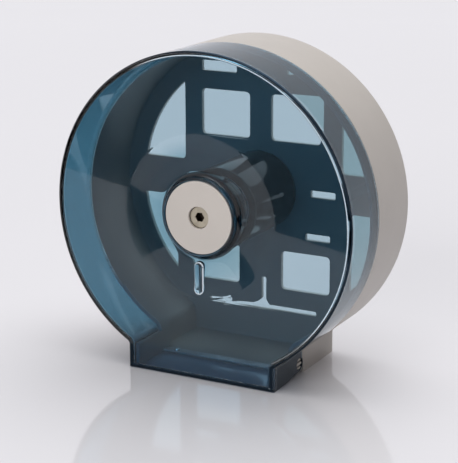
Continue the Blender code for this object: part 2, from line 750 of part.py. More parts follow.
def dish_profile():
    """Half section of the cover's middle: dish, collar, cap seat, web and the tube behind them."""
    rim = DISH_RADIUS + WALL / 2
    floor = DISH_FRONT + DISH_DEPTH
    inner_dish = COLLAR_RADIUS + COLLAR_FOOT
    seat = CAP_RADIUS + CAP_ROOM
    cap_floor = FRONT + CAP_SEAT
    collar_front = FRONT + CAP_FRONT
    profile = [
        (rim, DISH_FRONT + WALL),
        (rim, DISH_FRONT),
        (DISH_RADIUS - DISH_EDGE, DISH_FRONT),
        (inner_dish, floor),
    ]
    profile += arc(inner_dish, floor - COLLAR_FOOT, COLLAR_FOOT, math.pi / 2, math.pi, FILLET_STEPS)[1:]
    crest = (COLLAR_RADIUS + seat) / 2
    half_wall = COLLAR_RADIUS - crest
    profile += arc(crest, collar_front + half_wall, half_wall, 0, -math.pi, FILLET_STEPS)
    profile += [
        (seat, cap_floor),
        (BARREL_HEAD_RADIUS + GAP, cap_floor),
        (BARREL_HEAD_RADIUS + GAP, FRONT + BARREL_HEAD_SEAT),
        (BARREL_RADIUS + GAP, FRONT + BARREL_HEAD_SEAT),
        (BARREL_RADIUS + GAP, WEB_BACK),
        (COLLAR_BORE, WEB_BACK),
        (COLLAR_BORE, FRONT + COLLAR_BACK),
        (COLLAR_END_RADIUS, FRONT + COLLAR_BACK),
        (COLLAR_END_RADIUS + COLLAR_DRAFT, floor + WALL + COLLAR_FOOT),
        (inner_dish + COLLAR_DRAFT, floor + WALL),
    ]
    return profile


def foot_rise():
    """The room under the cover's side walls: the bottom edge climbs to the hinge eye and rounds it."""
    start = FRONT + FOOT_RISE_START
    rise = HINGE.z - EYE_RADIUS
    run = HINGE.y - start
    points = [(start, -OVERRUN)]
    for step in range(FOOT_RISE_STEPS):
        share = step / FOOT_RISE_STEPS
        points.append((start + run * share, rise * (1 - math.cos(math.pi * share)) / 2))
    points += arc(HINGE.y, HINGE.z, EYE_RADIUS, -math.pi / 2, 0, END_STEPS)
    points += [(HINGE.y + EYE_RADIUS + OVERRUN, HINGE.z), (HINGE.y + EYE_RADIUS + OVERRUN, -OVERRUN)]
    return points


def round_front_edge(thing, width):
    """A rounded edge round the front face of an upright plate."""
    mesh = thing.data
    work = bmesh.new()
    work.from_mesh(mesh)
    front = min(vertex.co.y for vertex in work.verts)
    weight = work.edges.layers.float.new("bevel_weight_edge")
    for edge in work.edges:
        at_front = max(vertex.co.y for vertex in edge.verts) - front < GAP
        edge[weight] = at_front and edge.calc_face_angle() > math.radians(EDGE_ANGLE)
    work.to_mesh(mesh)
    work.free()
    bevel = thing.modifiers.new("rounded_front", "BEVEL")
    bevel.limit_method = "WEIGHT"
    bevel.width = width
    bevel.segments = 3


def make_cover(tinted, beige):
    """The clear cover: rim, plate, dish, collar, foot walls with hinge eyes, and the cap in its seat."""
    body = flat_piece("front_cover", [keyhole(0, 0)], FRONT, COVER_BACK, tinted)
    round_front_edge(body, RIM_ROUND)
    inner = FOOT_HALF_WIDTH - WALL - OVERRUN
    for side in (-1, 1):
        left, right = sorted((side * inner, side * FOOT_HALF_WIDTH))
        join(body, cross_cylinder("eye", EYE_RADIUS, left, right, HINGE, ROUND_STEPS, tinted))
    plate_back = FRONT + RIM_RAISE + WALL
    behind = HINGE.y + EYE_RADIUS + OVERRUN
    recess = keyhole(RIM_WIDTH, RIM_WIDTH)
    outside = FOOT_HALF_WIDTH + OVERRUN
    ahead = FRONT - OVERRUN
    cut(
        body,
        flat_piece("cover_hollow", [keyhole(WALL, -OVERRUN)], plate_back, behind, tinted),
        flat_piece("rim_recess", [recess], ahead, FRONT + RIM_RAISE, tinted),
        side_piece("foot_rise", [foot_rise()], -outside, outside, tinted),
        rod("dish_hole", DISH_RADIUS, ahead, plate_back + OVERRUN, 0, HUB_HEIGHT, ARC_STEPS, tinted),
    )
    join(body, turned_piece("dish", dish_profile(), LOCK_AXIS, ARC_STEPS, tinted))
    for side in (-1, 1):
        left, right = sorted((side * (inner - OVERRUN), side * outside))
        cut(body, cross_cylinder("eye_hole", EYE_HOLE, left, right, HINGE, ROUND_STEPS, tinted))
    top = HUB_HEIGHT + PILL_TOP - PILL_HALF_WIDTH
    bottom = HUB_HEIGHT + PILL_BOTTOM + PILL_HALF_WIDTH
    outline = arc(PILL_PLACE, top, PILL_HALF_WIDTH, 0, math.pi, END_STEPS)
    outline += arc(PILL_PLACE, bottom, PILL_HALF_WIDTH, math.pi, 2 * math.pi, END_STEPS)
    pill_back = DISH_FRONT + DISH_DEPTH + GAP
    pill = flat_piece("pill", [outline], FRONT + PILL_FRONT, pill_back, tinted)
    round_front_edge(pill, PILL_ROUND)
    join(body, pill)
    bore = BARREL_HEAD_RADIUS + GAP
    front = FRONT + CAP_FRONT
    back = FRONT + CAP_SEAT - GAP
    profile = [(CAP_RADIUS, back)]
    profile += arc(CAP_RADIUS - CAP_EDGE, front + CAP_EDGE, CAP_EDGE, 0, -math.pi / 2, EDGE_STEPS)
    profile += [(bore, front), (bore, back)]
    cap = turned_piece("lock_cap", profile, LOCK_AXIS, ARC_STEPS, beige)
    return [body, cap]


def make_lock(brass, steel):
    """The hex-keyed barrel in the cover's web, with its clip, cam and cam screw."""
    groove = BARREL_RADIUS - LOCK_CLIP_GROOVE
    clip_back = LOCK_CLIP_FRONT + LOCK_CLIP_THICKNESS
    shoulder = FRONT + BARREL_HEAD_SEAT - GAP
    face = FRONT + BARREL_FRONT
    profile = [
        (0, BARREL_BACK),
        (BARREL_RADIUS, BARREL_BACK),
        (BARREL_RADIUS, clip_back + GAP),
        (groove, clip_back + GAP),
        (groove, LOCK_CLIP_FRONT - GAP),
        (BARREL_RADIUS, LOCK_CLIP_FRONT - GAP),
        (BARREL_RADIUS, shoulder),
        (BARREL_HEAD_RADIUS, shoulder),
        (BARREL_HEAD_RADIUS, face + BARREL_EDGE),
        (BARREL_HEAD_RADIUS - BARREL_EDGE, face),
        (0, face),
    ]
    barrel = turned_piece("lock_barrel", profile, LOCK_AXIS, ROUND_STEPS, brass)
    socket = SOCKET_ACROSS_FLATS / math.sqrt(3)
    end = face + SOCKET_DEPTH
    cut(barrel, rod("hex_socket", socket, face - OVERRUN, end, 0, HUB_HEIGHT, HEX_SIDES, brass))
    cam_back = CAM_FRONT + CAM_THICKNESS
    low = (-TENON_HALF, BARREL_BACK - OVERRUN, HUB_HEIGHT - TENON_HALF)
    high = (TENON_HALF, cam_back - GAP, HUB_HEIGHT + TENON_HALF)
    join(barrel, block("tenon", low, high, brass))
    seat = cam_back + GAP
    tip = seat - CAM_SCREW_LENGTH
    hole = CAM_SCREW_RADIUS + GAP
    end = seat + OVERRUN
    cut(barrel, rod("screw_hole", hole, tip - GAP, end, 0, HUB_HEIGHT, SMALL_STEPS, brass))
    corners = [(CAM_REACH, -CAM_HALF_HEIGHT), (CAM_REACH, CAM_HALF_HEIGHT)]
    corners += [(-CAM_REACH, CAM_HALF_HEIGHT), (-CAM_REACH, -CAM_HALF_HEIGHT)]
    bar = [(x, HUB_HEIGHT + z) for x, z in softened(corners, CAM_HALF_HEIGHT / 2)]
    room = TENON_HALF + GAP
    square = [(room, -room), (room, room), (-room, room), (-room, -room)]
    eye = [(x, HUB_HEIGHT + z) for x, z in square]
    cam = flat_piece("lock_cam", [bar, eye], CAM_FRONT, cam_back, steel)
    screw = rod("cam_screw", CAM_SCREW_RADIUS, tip, seat + GAP, 0, HUB_HEIGHT, SMALL_STEPS, steel)
    head_back = seat + CAM_SCREW_HEAD_HEIGHT
    join(screw, rod("head", CAM_SCREW_HEAD, seat, head_back, 0, HUB_HEIGHT, SMALL_STEPS, steel))
    inner = groove + GAP
    outer = inner + LOCK_CLIP_WIDTH
    ring = [(outer, clip_back), (outer, LOCK_CLIP_FRONT), (inner, LOCK_CLIP_FRONT), (inner, clip_back)]
    clip = turned_piece("lock_clip", ring, LOCK_AXIS, ROUND_STEPS, steel)
    low = (-LOCK_CLIP_MOUTH / 2, LOCK_CLIP_FRONT - OVERRUN, HUB_HEIGHT - outer - OVERRUN)
    high = (LOCK_CLIP_MOUTH / 2, clip_back + OVERRUN, HUB_HEIGHT)
    cut(clip, block("clip_mouth", low, high, steel))
    return [barrel, cam, screw, clip]


def new_axis(name, place):
    """An empty on a joint's axis."""
    empty = bpy.data.objects.new(name, None)
    empty.location = place
    PARTS.objects.link(empty)
    return empty


def hang(thing, parent, place):
    """Parents thing without moving it, for a parent that stands unturned at place."""
    thing.parent = parent
    thing.matrix_parent_inverse.translation = -Vector(place)


def main():
    """Builds every piece and hangs the moving ones on their axes."""
    beige = plastic("beige_abs", (0.56, 0.52, 0.47), 0.35)
    tinted = plastic("tinted_clear", (0.10, 0.25, 0.31), 0.05, 0, 1)
    dark = plastic("dark_abs", (0.02, 0.024, 0.028), 0.18)
    grey = plastic("grey_abs", (0.20, 0.20, 0.19), 0.4)
    nylon = plastic("white_nylon", (0.75, 0.74, 0.70), 0.45)
    steel = plastic("zinc_steel", (0.60, 0.60, 0.58), 0.3, 1)
    brass = plastic("lock_zinc", (0.50, 0.45, 0.35), 0.35, 1)
    make_housing(beige)
    make_tear_bar(steel)
    make_post(grey, steel)
    make_keeper(steel)
    spool_axis = new_axis("spool_axis", SPOOL_AXIS)
    for thing in make_spool(dark, nylon):
        hang(thing, spool_axis, SPOOL_AXIS)
    hinge_axis = new_axis("hinge_axis", HINGE)
    for thing in make_cover(tinted, beige):
        hang(thing, hinge_axis, HINGE)
    lock_axis = new_axis("lock_axis", LOCK_AXIS)
    for thing in make_lock(brass, steel):
        hang(thing, lock_axis, LOCK_AXIS)
    hang(lock_axis, hinge_axis, HINGE)


main()
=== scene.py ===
import math

import bmesh
import bpy
import numpy as np
from mathutils import Matrix, Vector
from mathutils.geometry import tessellate_polygon


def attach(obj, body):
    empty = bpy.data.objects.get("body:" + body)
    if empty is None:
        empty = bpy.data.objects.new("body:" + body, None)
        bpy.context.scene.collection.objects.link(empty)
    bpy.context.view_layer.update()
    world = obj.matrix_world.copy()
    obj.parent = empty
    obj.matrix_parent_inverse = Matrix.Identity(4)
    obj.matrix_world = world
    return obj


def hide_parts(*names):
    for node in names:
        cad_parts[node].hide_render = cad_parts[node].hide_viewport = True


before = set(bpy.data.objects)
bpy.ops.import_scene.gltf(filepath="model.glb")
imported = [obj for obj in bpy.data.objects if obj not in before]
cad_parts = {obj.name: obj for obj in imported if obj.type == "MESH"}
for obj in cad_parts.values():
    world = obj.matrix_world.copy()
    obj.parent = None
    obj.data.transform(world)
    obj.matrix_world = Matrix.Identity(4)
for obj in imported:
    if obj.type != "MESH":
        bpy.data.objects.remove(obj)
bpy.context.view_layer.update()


# ---- Drum housing ----
# The beige moulding that screws to the wall: drum wall, back plate with its windows, foot with its
# floor, and the lip that the cover slides over. Injection-moulded ABS in one shot, satin finish.

drum_radius, hub_height, gap = 0.135, 0.1385, 0.0003
hub = (0, hub_height)
foot_half_width, foot_fillet = 0.0683, 0.0035
front_y, back_y = -0.05825, 0.05825
seam_y, ledge_y, lip_front_y = -0.00395, -0.00075, -0.01445
plate_front_y, floor_front_y = 0.05375, -0.01225
floor_top, lip_lift = 0.0025, 0.0005
housing_wall, lip_outer_inset = 0.003, 0.0033
lip_wall, lip_step, lip_swing_room = 0.0025, 0.0018, 0.0007
plate_fillet, lip_round, seam_round = 0.0018, 0.0005, 0.0004
hinge_y, hinge_z = -0.00945, 0.0094
boss_radius, boss_end, boss_edge = 0.0047, 0.068, 0.0004
groove_off, groove_half, groove_depth = 0.00195, 0.00085, 0.0013
relief_radius, slope_top, slope_back = 0.0069, 0.0082, -0.00265
slope_run, slope_height = 0.0026, 0.0112
cheek_front_y, cheek_root_y, cheek_bottom = -0.0523, -0.014, 0.0008
cheek_outer_x, cheek_wall = foot_half_width - 0.0042, 0.0034

fillet_x = foot_half_width + foot_fillet
fillet_z = hub_height - math.sqrt((drum_radius + foot_fillet) ** 2 - fillet_x**2)
foot_turn = math.atan2(fillet_z - hub_height, fillet_x)
step_turn = math.asin(-0.64)
bends, sides = 10, 30


def polar(turn, radius=1, centre=(0, 0)):
    """Points centre + radius * (cos a, sin a)."""
    return centre + np.c_[np.cos(turn), np.sin(turn)] * radius


def outline_columns():
    """The columns of the keyhole outline, running over the drum from right to left, down the left
    side of the foot, along its bottom and up its right side. Each has a base point, the way
    inwards, how far down the side it stands (0 to 1), how far along the bottom (-1 to 1), and
    its part: 0 drum above the lip's step, 1 drum below it or fillet, 2 side, 3 bottom."""
    low = np.linspace(foot_turn, step_turn, 26)
    high = np.linspace(step_turn, math.pi - step_turn, 241)
    turn = np.concatenate([low, high, math.pi - low[::-1]])
    bend = np.linspace(-foot_turn, 0, bends + 1)[1:]
    drum, left_fillet = polar(turn), polar(bend)
    right_fillet = left_fillet[::-1] * (-1, 1)
    left = np.array([-fillet_x, fillet_z])
    down = np.linspace(0, 1, sides + 1)[1:]
    across = np.r_[-1, -0.952, np.linspace(-0.946, 0.946, 37), 0.952, 1]
    drum_part = np.repeat([1, 0, 1], [len(low), len(high), len(low)])
    runs = [
        (len(turn), hub + drum_radius * drum, -drum, 0, 0, drum_part),
        (bends, left + foot_fillet * left_fillet, left_fillet, 0, 0, 1),
        (sides, (-foot_half_width, 0), (1, 0), down, 0, 2),
        (len(across), 0, 0, 1, across, 3),
        (sides, (foot_half_width, 0), (-1, 0), down[::-1], 0, 2),
        (bends, left * (-1, 1) + foot_fillet * right_fillet, right_fillet, 0, 0, 1),
    ]
    return [
        np.concatenate([np.broadcast_to(run[field], (run[0], *shape)) for run in runs])
        for field, shape in enumerate([(2,), (2,), (), (), ()], start=1)
    ]


base, inward, drop, reach, part = outline_columns()
on_run, on_foot, below_step = part == 3, part >= 2, part >= 1


def ring(inset, y, bottom):
    """One row of points round the outline: base + inset * inward, with the foot's sides scaled
    down to the height bottom and its bottom run spanning what the inset leaves. y may vary."""
    inset = np.broadcast_to(np.asarray(inset, float), drop.shape)
    points = base + inward * inset[:, None]
    points[on_foot, 1] = fillet_z + (bottom - fillet_z) * drop[on_foot]
    points[on_run, 0] = reach[on_run] * (foot_half_width - inset[on_run])
    y = np.broadcast_to(np.asarray(y, float), drop.shape)
    return np.c_[points[:, 0], y, points[:, 1]]


def quarter(radius, steps):
    """Offsets (along, off) of a quarter round: radius * (1 - sin a) and radius * (1 - cos a)."""
    turn = np.linspace(0, math.pi / 2, steps + 1)
    return list(zip(radius * (1 - np.sin(turn)), radius * (1 - np.cos(turn))))


def soft_corners(corners, reach, steps=6, share=0.45):
    """A closed outline through corners (n, 2) with each corner turned into a quadratic curve
    p0 (1-t)^2 + 2 p1 t (1-t) + p2 t^2. It starts and ends up to reach away from the corner, and
    no further than that share of the side."""
    here = np.asarray(corners, float)
    ends = []
    for other in (np.roll(here, 1, axis=0), np.roll(here, -1, axis=0)):
        side = other - here
        length = np.maximum(np.linalg.norm(side, axis=1, keepdims=True), 1e-9)
        ends.append((here + side / length * np.minimum(reach, share * length))[:, None])
    t = np.linspace(0, 1, steps + 1)[None, :, None]
    curve = ends[0] * (1 - t) ** 2 + 2 * here[:, None] * t * (1 - t) + ends[1] * t**2
    return curve.reshape(-1, 2)


def box(left, right, low, high):
    """The four corners of a rectangle, anticlockwise."""
    return np.array([(left, low), (right, low), (right, high), (left, high)])


def widened(outline, width):
    """The closed outline moved outwards by width: each point goes along the normal of the chord
    between its two neighbours. The outline runs anticlockwise."""
    chord = np.roll(outline, -1, axis=0) - np.roll(outline, 1, axis=0)
    length = np.linalg.norm(chord, axis=1, keepdims=True)
    return outline + np.c_[chord[:, 1], -chord[:, 0]] / length * width


def circle(x, z, radius, steps):
    """A circle's outline, anticlockwise."""
    return polar(np.arange(steps) * 2 * math.pi / steps, radius, (x, z))


def standing(outline, level, axis=1):
    """A flat outline as 3-D points at one level of an axis, by default (x, z) stood up at y."""
    return np.insert(outline, axis, level, axis=1)


class Skin:
    """Surfaces gathered into one mesh, whose shared edges are merged at the end."""

    def __init__(self):
        self.points, self.faces, self.count = [], [], 0

    def add(self, points, faces):
        self.points.append(np.asarray(points, float).reshape(-1, 3))
        self.faces += (np.asarray(faces) + self.count).tolist()
        self.count += len(self.points[-1])

    def grid(self, rows, closed=True):
        """Quads between neighbours of a (rows, columns, 3) array, closed round the columns."""
        rows = np.asarray(rows, float)
        index = np.arange(rows.shape[0] * rows.shape[1]).reshape(rows.shape[:2])
        ahead = np.roll(index, -1, axis=1)
        if not closed:
            index, ahead = index[:, :-1], ahead[:, :-1]
        quads = np.stack([index[:-1], ahead[:-1], ahead[1:], index[1:]], axis=-1)
        self.add(rows, quads.reshape(-1, 4))

    def fill(self, loops, axis=1):
        """Triangles that fill the flat region between closed loops, seen along one axis."""
        loops = [
            loop[np.abs(loop - np.roll(loop, 1, axis=0)).max(axis=1) > 1e-7] for loop in loops
        ]
        points = np.concatenate(loops)
        flat = [np.insert(np.delete(loop, axis, 1), 2, 0, axis=1).tolist() for loop in loops]
        self.add(points, tessellate_polygon(flat))

    def turned(self, profile, centre, steps, axis=1, radius=None):
        """Turns (radius, along) points about the line through centre along an axis: the other two
        coordinates are centre + r cos a and centre + r sin a. Returns the rows of points. A radius
        of its own, (rows, steps), makes the form vary round its line."""
        profile = np.asarray(profile, float)
        radius = profile[:, :1] if radius is None else radius
        turn = np.arange(steps) * 2 * math.pi / steps
        across = [other for other in range(3) if other != axis]
        rows = np.empty((len(profile), steps, 3))
        rows[..., axis] = profile[:, 1:]
        rows[..., across[0]] = centre[0] + radius * np.cos(turn)
        rows[..., across[1]] = centre[1] + radius * np.sin(turn)
        self.grid(rows)
        return rows

    def walled(self, outline, low, high, edge, steps, way=1, axis=1):
        """A wall on a closed outline between two levels of an axis. Its ends are quarter rounds of
        radius edge: outwards, as on a hole, or inwards where way is -1. Returns the end rows."""
        turns = quarter(edge, steps)
        rows = [standing(widened(outline, way * a), low + b, axis) for a, b in turns]
        rows += [standing(widened(outline, way * a), high - b, axis) for a, b in turns[::-1]]
        self.grid(rows)
        return rows[0], rows[-1]

    def pressed(self, outlines, low, high, edge, axis=1, steps=2):
        """A flat plate between two levels of an axis: the first outline is its rim, the others are
        its holes. Every edge is a quarter round of radius edge. Returns the skin."""
        walls = [
            self.walled(outline, low, high, edge, steps, 1 if number else -1, axis)
            for number, outline in enumerate(outlines)
        ]
        for loops in zip(*walls):
            self.fill(loops, axis)
        return self

    def object(self, name, finish):
        """The merged mesh as an object."""
        mesh = bpy.data.meshes.new(name)
        mesh.from_pydata(np.concatenate(self.points).tolist(), [], self.faces)
        work = bmesh.new()
        work.from_mesh(mesh)
        bmesh.ops.remove_doubles(work, verts=work.verts, dist=0.000002)
        bmesh.ops.dissolve_degenerate(work, edges=work.edges, dist=0.000001)
        bmesh.ops.recalc_face_normals(work, faces=work.faces)
        work.to_mesh(mesh)
        work.free()
        mesh.materials.append(finish.material)
        thing = bpy.data.objects.new(name, mesh)
        bpy.context.scene.collection.objects.link(thing)
        return thing

    def piece(self, name, finish, body, node, extra=None):
        """The piece that stands for a CAD node and rides on body, smooth but for edges sharper than
        32 degrees. An extra closed object is merged into it."""
        thing = self.object(name, finish)
        if extra:
            union = thing.modifiers.new("joined", "BOOLEAN")
            union.object, union.operation, union.solver = extra, "UNION", "MANIFOLD"
            graph = bpy.context.evaluated_depsgraph_get()
            thing.data = bpy.data.meshes.new_from_object(thing.evaluated_get(graph))
            thing.modifiers.clear()
            bpy.data.objects.remove(extra)
        thing.data.shade_smooth()
        thing.data.set_sharp_from_angle(angle=math.radians(32))
        thing.modifiers.new("face_weighted_normals", "WEIGHTED_NORMAL").keep_sharp = True
        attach(thing, body)
        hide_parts(node)


class Value:
    """One output in a node tree. Sums on it add the Math nodes that work them out."""

    def __init__(self, owner, socket):
        self.owner, self.socket = owner, socket

    def math(self, operation, *values):
        return self.owner.node("ShaderNodeMath", {"operation": operation}, dict(enumerate(values)))

    def __abs__(self):
        return self.math("ABSOLUTE", self)

    def __add__(self, other):
        return self.math("ADD", self, other)

    def __sub__(self, other):
        return self.math("SUBTRACT", self, other)

    def __rsub__(self, other):
        return self.math("SUBTRACT", other, self)

    def __mul__(self, other):
        return self.math("MULTIPLY", self, other)

    __radd__, __rmul__ = __add__, __mul__

    def rising(self, low, high, about=0):
        """0 below low, 1 above high and smooth between, both counted from about."""
        settings = {"interpolation_type": "SMOOTHSTEP"}
        sockets = {"Value": self, "From Min": about + low, "From Max": about + high}
        return self.owner.node("ShaderNodeMapRange", settings, sockets)

    def falling(self, low, high, about=0):
        """1 below low, 0 above high and smooth between, both counted from about."""
        return 1 - self.rising(low, high, about)

    def within(self, low, start, end, high, about=0):
        """Rising from low to start and falling from end to high."""
        return self.rising(low, start, about) * self.falling(end, high, about)


class Nodes:
    """The node tree of a material or world. Every node but the given ones is added by node()."""

    def __init__(self, thing):
        thing.use_nodes = True
        self.tree = thing.node_tree

    def node(self, kind, settings, sockets, output=0):
        made = self.tree.nodes.new(kind)
        for name, value in settings.items():
            setattr(made, name, value)
        for key, value in sockets.items():
            self.feed(made.inputs[key], value)
        return Value(self, made.outputs[output])

    def feed(self, socket, value):
        if isinstance(value, Value):
            self.tree.links.new(value.socket, socket)
        else:
            socket.default_value = value


class Finish(Nodes):
    """A material with one Principled shader. Its slot is stored but not used."""

    def __init__(self, name, slot="", **fixed):
        self.slot, self.material = slot, bpy.data.materials.new(name)
        super().__init__(self.material)
        self.shader = self.tree.nodes["Principled BSDF"]
        self.shows(**fixed)

    def shows(self, **sockets):
        """Feeds the Principled shader's sockets, named with _ for a space."""
        for socket, value in sockets.items():
            self.feed(self.shader.inputs[socket.replace("_", " ")], value)

    def place(self):
        return self.node("ShaderNodeTexCoord", {}, {}, "Object")

    def axes(self):
        """The three coordinates of a point."""
        for axis in range(3):
            yield self.node("ShaderNodeSeparateXYZ", {}, {"Vector": self.place()}, axis)

    def off_line(self, first, second, axis=1):
        """How far a point lies from the line along an axis through the other two coordinates."""
        flat, through = np.insert([[1.0, 1.0], [first, second]], axis, 0, axis=1)
        kind, operation = "ShaderNodeVectorMath", "operation"
        across = self.node(kind, {operation: "MULTIPLY"}, {0: self.place(), 1: tuple(flat)})
        return self.node(kind, {operation: "DISTANCE"}, {0: across, 1: tuple(through)}, "Value")

    def noise(self, scale, detail, roughness=0.5):
        """Noise of one scale, or of its own scale along each axis."""
        place = self.place()
        if isinstance(scale, tuple):
            place = self.node("ShaderNodeMapping", {}, {"Vector": place, "Scale": scale})
            scale = 1
        sockets = {"Vector": place, "Scale": scale, "Detail": detail, "Roughness": roughness}
        return self.node("ShaderNodeTexNoise", {}, sockets)

    def blend(self, factor, first, second):
        """first where factor is 0, second where it is 1."""
        sockets = {0: factor}
        for socket, colour in ((6, first), (7, second)):
            sockets[socket] = (*colour, 1) if isinstance(colour, tuple) else colour
        return self.node("ShaderNodeMix", {"data_type": "RGBA"}, sockets, 2)

    def bumped(self, height, distance, strength):
        sockets = {"Height": height, "Distance": distance, "Strength": strength}
        self.shows(Normal=self.node("ShaderNodeBump", {}, sockets))


def moulded_beige(name, shade):
    """Satin beige ABS: a faint spark-eroded grain, slight cloudiness, a darker tone towards the
    bottom, and a duller gloss where hands have rubbed it. Painted light: a pale highlight on the
    lip's front edge, metal-like at the left, pale lit walls round the plate's openings, and on the
    hinge bosses painted shade in the grooves and pale rib tops."""
    finish = Finish(name, "beige_plastic", IOR=1.53, Specular_IOR_Level=0.35)
    x, y, z = finish.axes()
    cloud, grain = finish.noise(22, 4), finish.noise(1900, 2)
    rubbed = finish.noise(9, 5, roughness=0.65).rising(0.46, 0.66)
    # Painted highlight: the lip's front edge is made pale.
    lip_edge_highlight = y.within(-0.0006, -0.0004, 0.0004, 0.0008, lip_front_y) * z.rising(0.02, 0.023)
    # Painted reflection: at the upper left the lip's edge is made metal-like and glossier by the
    # mask below.
    polished = lip_edge_highlight * x.falling(-0.1, -0.02) * z.rising(0.05, 0.09)
    # Painted light: the walls of the plate's openings, and the plate's back, are made pale as if
    # lit.
    lit_opening_walls = y.rising(0.0004, 0.0009, plate_front_y)
    lit_opening_walls = lit_opening_walls * finish.off_line(*hub).falling(0.124, 0.125)
    # Painted shade darkens the hinge bosses' grooves, and a painted highlight makes their rib tops
    # pale.
    on_boss = y.falling(-0.001, -0.0006, seam_y) * z.falling(0.015, 0.0155)
    groove = abs(x).within(0.0652, 0.0654, 0.0672, 0.0676) * on_boss
    lit_rib_tops = abs(x).rising(0.0676, 0.0678) * on_boss
    # Painted light: shade scales the whole beige, so the housing's copy is darker and the cap's
    # lighter.
    darker, lighter = np.outer([0.535, 0.56], [1.0, 0.925, 0.85]) * shade
    tone = finish.blend(cloud.rising(0.3, 0.7), tuple(darker), tuple(lighter))
    for mask, share, colour in (
        (lip_edge_highlight, 0.6, (0.86, 0.85, 0.82)), (lit_opening_walls, 0.6, (0.88, 0.86, 0.82)),
        (groove, 0.9, (0.05, 0.045, 0.04)), (lit_rib_tops, 1, (0.85, 0.8, 0.72)),
        (z.falling(0.004, 0.05), 0.25, (0.47, 0.435, 0.39)),
    ):
        tone = finish.blend(mask * share, tone, colour)
    finish.shows(Base_Color=tone, Metallic=polished * 0.95)
    finish.shows(Roughness=0.36 + rubbed * 0.1 + grain * 0.05 - polished * 0.22)
    finish.bumped(grain + cloud * 0.6, 0.00004, 0.35)
    return finish


def placed(shares):
    """Shares of the drum's radius, counted from the hub, as (x, z) points."""
    return np.asarray(shares, float) * drum_radius + hub


window_shares = ((0.076, 0.422, 0.326, 0.622), (0.152, 0.493, -0.648, -0.393))
slot_shares = (
    (0.17, 0.419, 0.741, 0.815), (0.356, 0.526, -0.015, 0.03), (0.322, 0.493, -0.3, -0.256)
)
quarter_shares = ((0.548, 0.147, 0.856), (0.615, -0.104, 0.862))
drain_shares = (
    (-0.378, -0.774), (-0.204, -0.763), (-0.215, -0.785), (-0.089, -0.77), (-0.03, -0.765),
    (0.01, -0.733), (0.01, -0.585), (0.042, -0.585), (0.042, -0.733), (0.065, -0.769),
    (0.4, -0.77), (0.404, -0.8), (-0.089, -0.8), (-0.281, -0.819), (-0.267, -0.8),
    (-0.367, -0.807),
)
window_round, slot_round = 0.00432, 0.00135


def plate_openings():
    """The outline of every opening through the back plate, anticlockwise."""
    outlines = []
    for shares, corner_reach in ((window_shares, window_round), (slot_shares, slot_round)):
        outlines += [soft_corners(placed(box(*edges)), corner_reach) for edges in shares]
    for inner, near, rim in quarter_shares:
        turn = np.linspace(math.asin(near / rim), math.copysign(math.acos(inner / rim), near), 40)
        outline = soft_corners(placed([(inner, near), *polar(turn, rim)]), window_round, 5)
        outlines.append(outline if near > 0 else outline[::-1])
    outlines += [outline[::-1] * (-1, 1) for outline in outlines]
    outlines.append(soft_corners(placed(drain_shares), slot_round)[::-1])
    return outlines


def relieved(row, side_y):
    """The row with its side columns moved back to the room round the hinge: the circle about the
    hinge down to its own height, then a straight slope to the bottom."""
    z = row[:, 2]
    rise = z - hinge_z
    arc = hinge_y + np.sqrt(np.maximum(relief_radius**2 - rise**2, 0))
    slope = slope_back + (slope_top - z) * slope_run / slope_height
    line = np.where(z > slope_top, np.where(rise < relief_radius, arc, side_y), slope)
    beside_cover = (part == 2) | (np.abs(reach) > 0.95)
    row[:, 1] = np.where(beside_cover, np.maximum(line, side_y), row[:, 1])
    return row


def housing_rows():
    """The drum's wall as one sweep round the outline: plate fillet, inner wall, ledge, lip, seam
    face, outer wall and rounded back edge. Each row is a ring at its own inset and depth."""
    lip_inner = lip_outer_inset + lip_wall + np.where(below_step, lip_step, 0)
    lip_outer = lip_outer_inset + np.where(part == 1, lip_swing_room, 0)
    lip_y = np.where(on_run, floor_front_y, lip_front_y)
    turns = quarter(plate_fillet, 4)
    rows = [ring(housing_wall + a, plate_front_y - b, floor_top + a) for a, b in turns]
    rows.append(ring(housing_wall, ledge_y, floor_top))
    rows.append(ring(lip_inner, ledge_y, floor_top))
    rows += [ring(lip_inner - b, lip_y + a, floor_top - b) for a, b in quarter(lip_round, 3)]
    rows += [ring(lip_outer + a, lip_y + b, lip_lift + a) for a, b in quarter(lip_round, 3)]
    rows.append(relieved(ring(lip_outer, seam_y, lip_lift), seam_y))
    rows += [relieved(ring(a, seam_y + b, a), seam_y + b) for a, b in quarter(seam_round, 2)]
    rows += [ring(a, back_y - b, a) for a, b in quarter(plate_fillet, 5)[::-1]]
    return rows


def boss_rows(side):
    """A hinge boss with two grooves across its end, which leave three ribs. The end is a grid of
    chords: height z over the disc, y = t * sqrt(r^2 - z^2), x = end - groove depth at z, with the
    depth a flat-bottomed bump about each groove's line. The last rows run back to the root."""
    z = boss_radius * np.sin(np.linspace(-math.pi / 2, math.pi / 2, 61))[:, None]
    t = np.linspace(-1, 1, 21)[None]
    chord = np.sqrt(np.maximum(boss_radius**2 - z**2, 0))
    groove = np.exp(-(((np.abs(z) - groove_off) / groove_half) ** 4))
    rim = np.hypot(t * chord, z) / boss_radius
    x = boss_end - groove_depth * groove - boss_edge * rim**12
    end = np.stack([side * x, hinge_y + t * chord, hinge_z + z + 0 * t], axis=-1)
    loop = np.concatenate([end[:, -1], end[::-1, 0]])
    root = loop.copy()
    root[:, 0] = side * (foot_half_width - lip_outer_inset - 0.0012)
    return end, np.stack([loop, root])


screw_turns = math.pi / 2 + np.arange(3) * 2 * math.pi / 3
screw_places = polar(screw_turns, 0.0245, hub)
sink_profile = [
    (0.0019, plate_front_y), (0.0019, 0.05565), (0.0039, 0.05565), (0.0039, 0.05795),
    (0.0042, back_y),
]
cheek_corners = box(cheek_front_y, cheek_root_y, cheek_bottom, fillet_z)
cheek_outline = soft_corners(cheek_corners, 0.0012, 5)

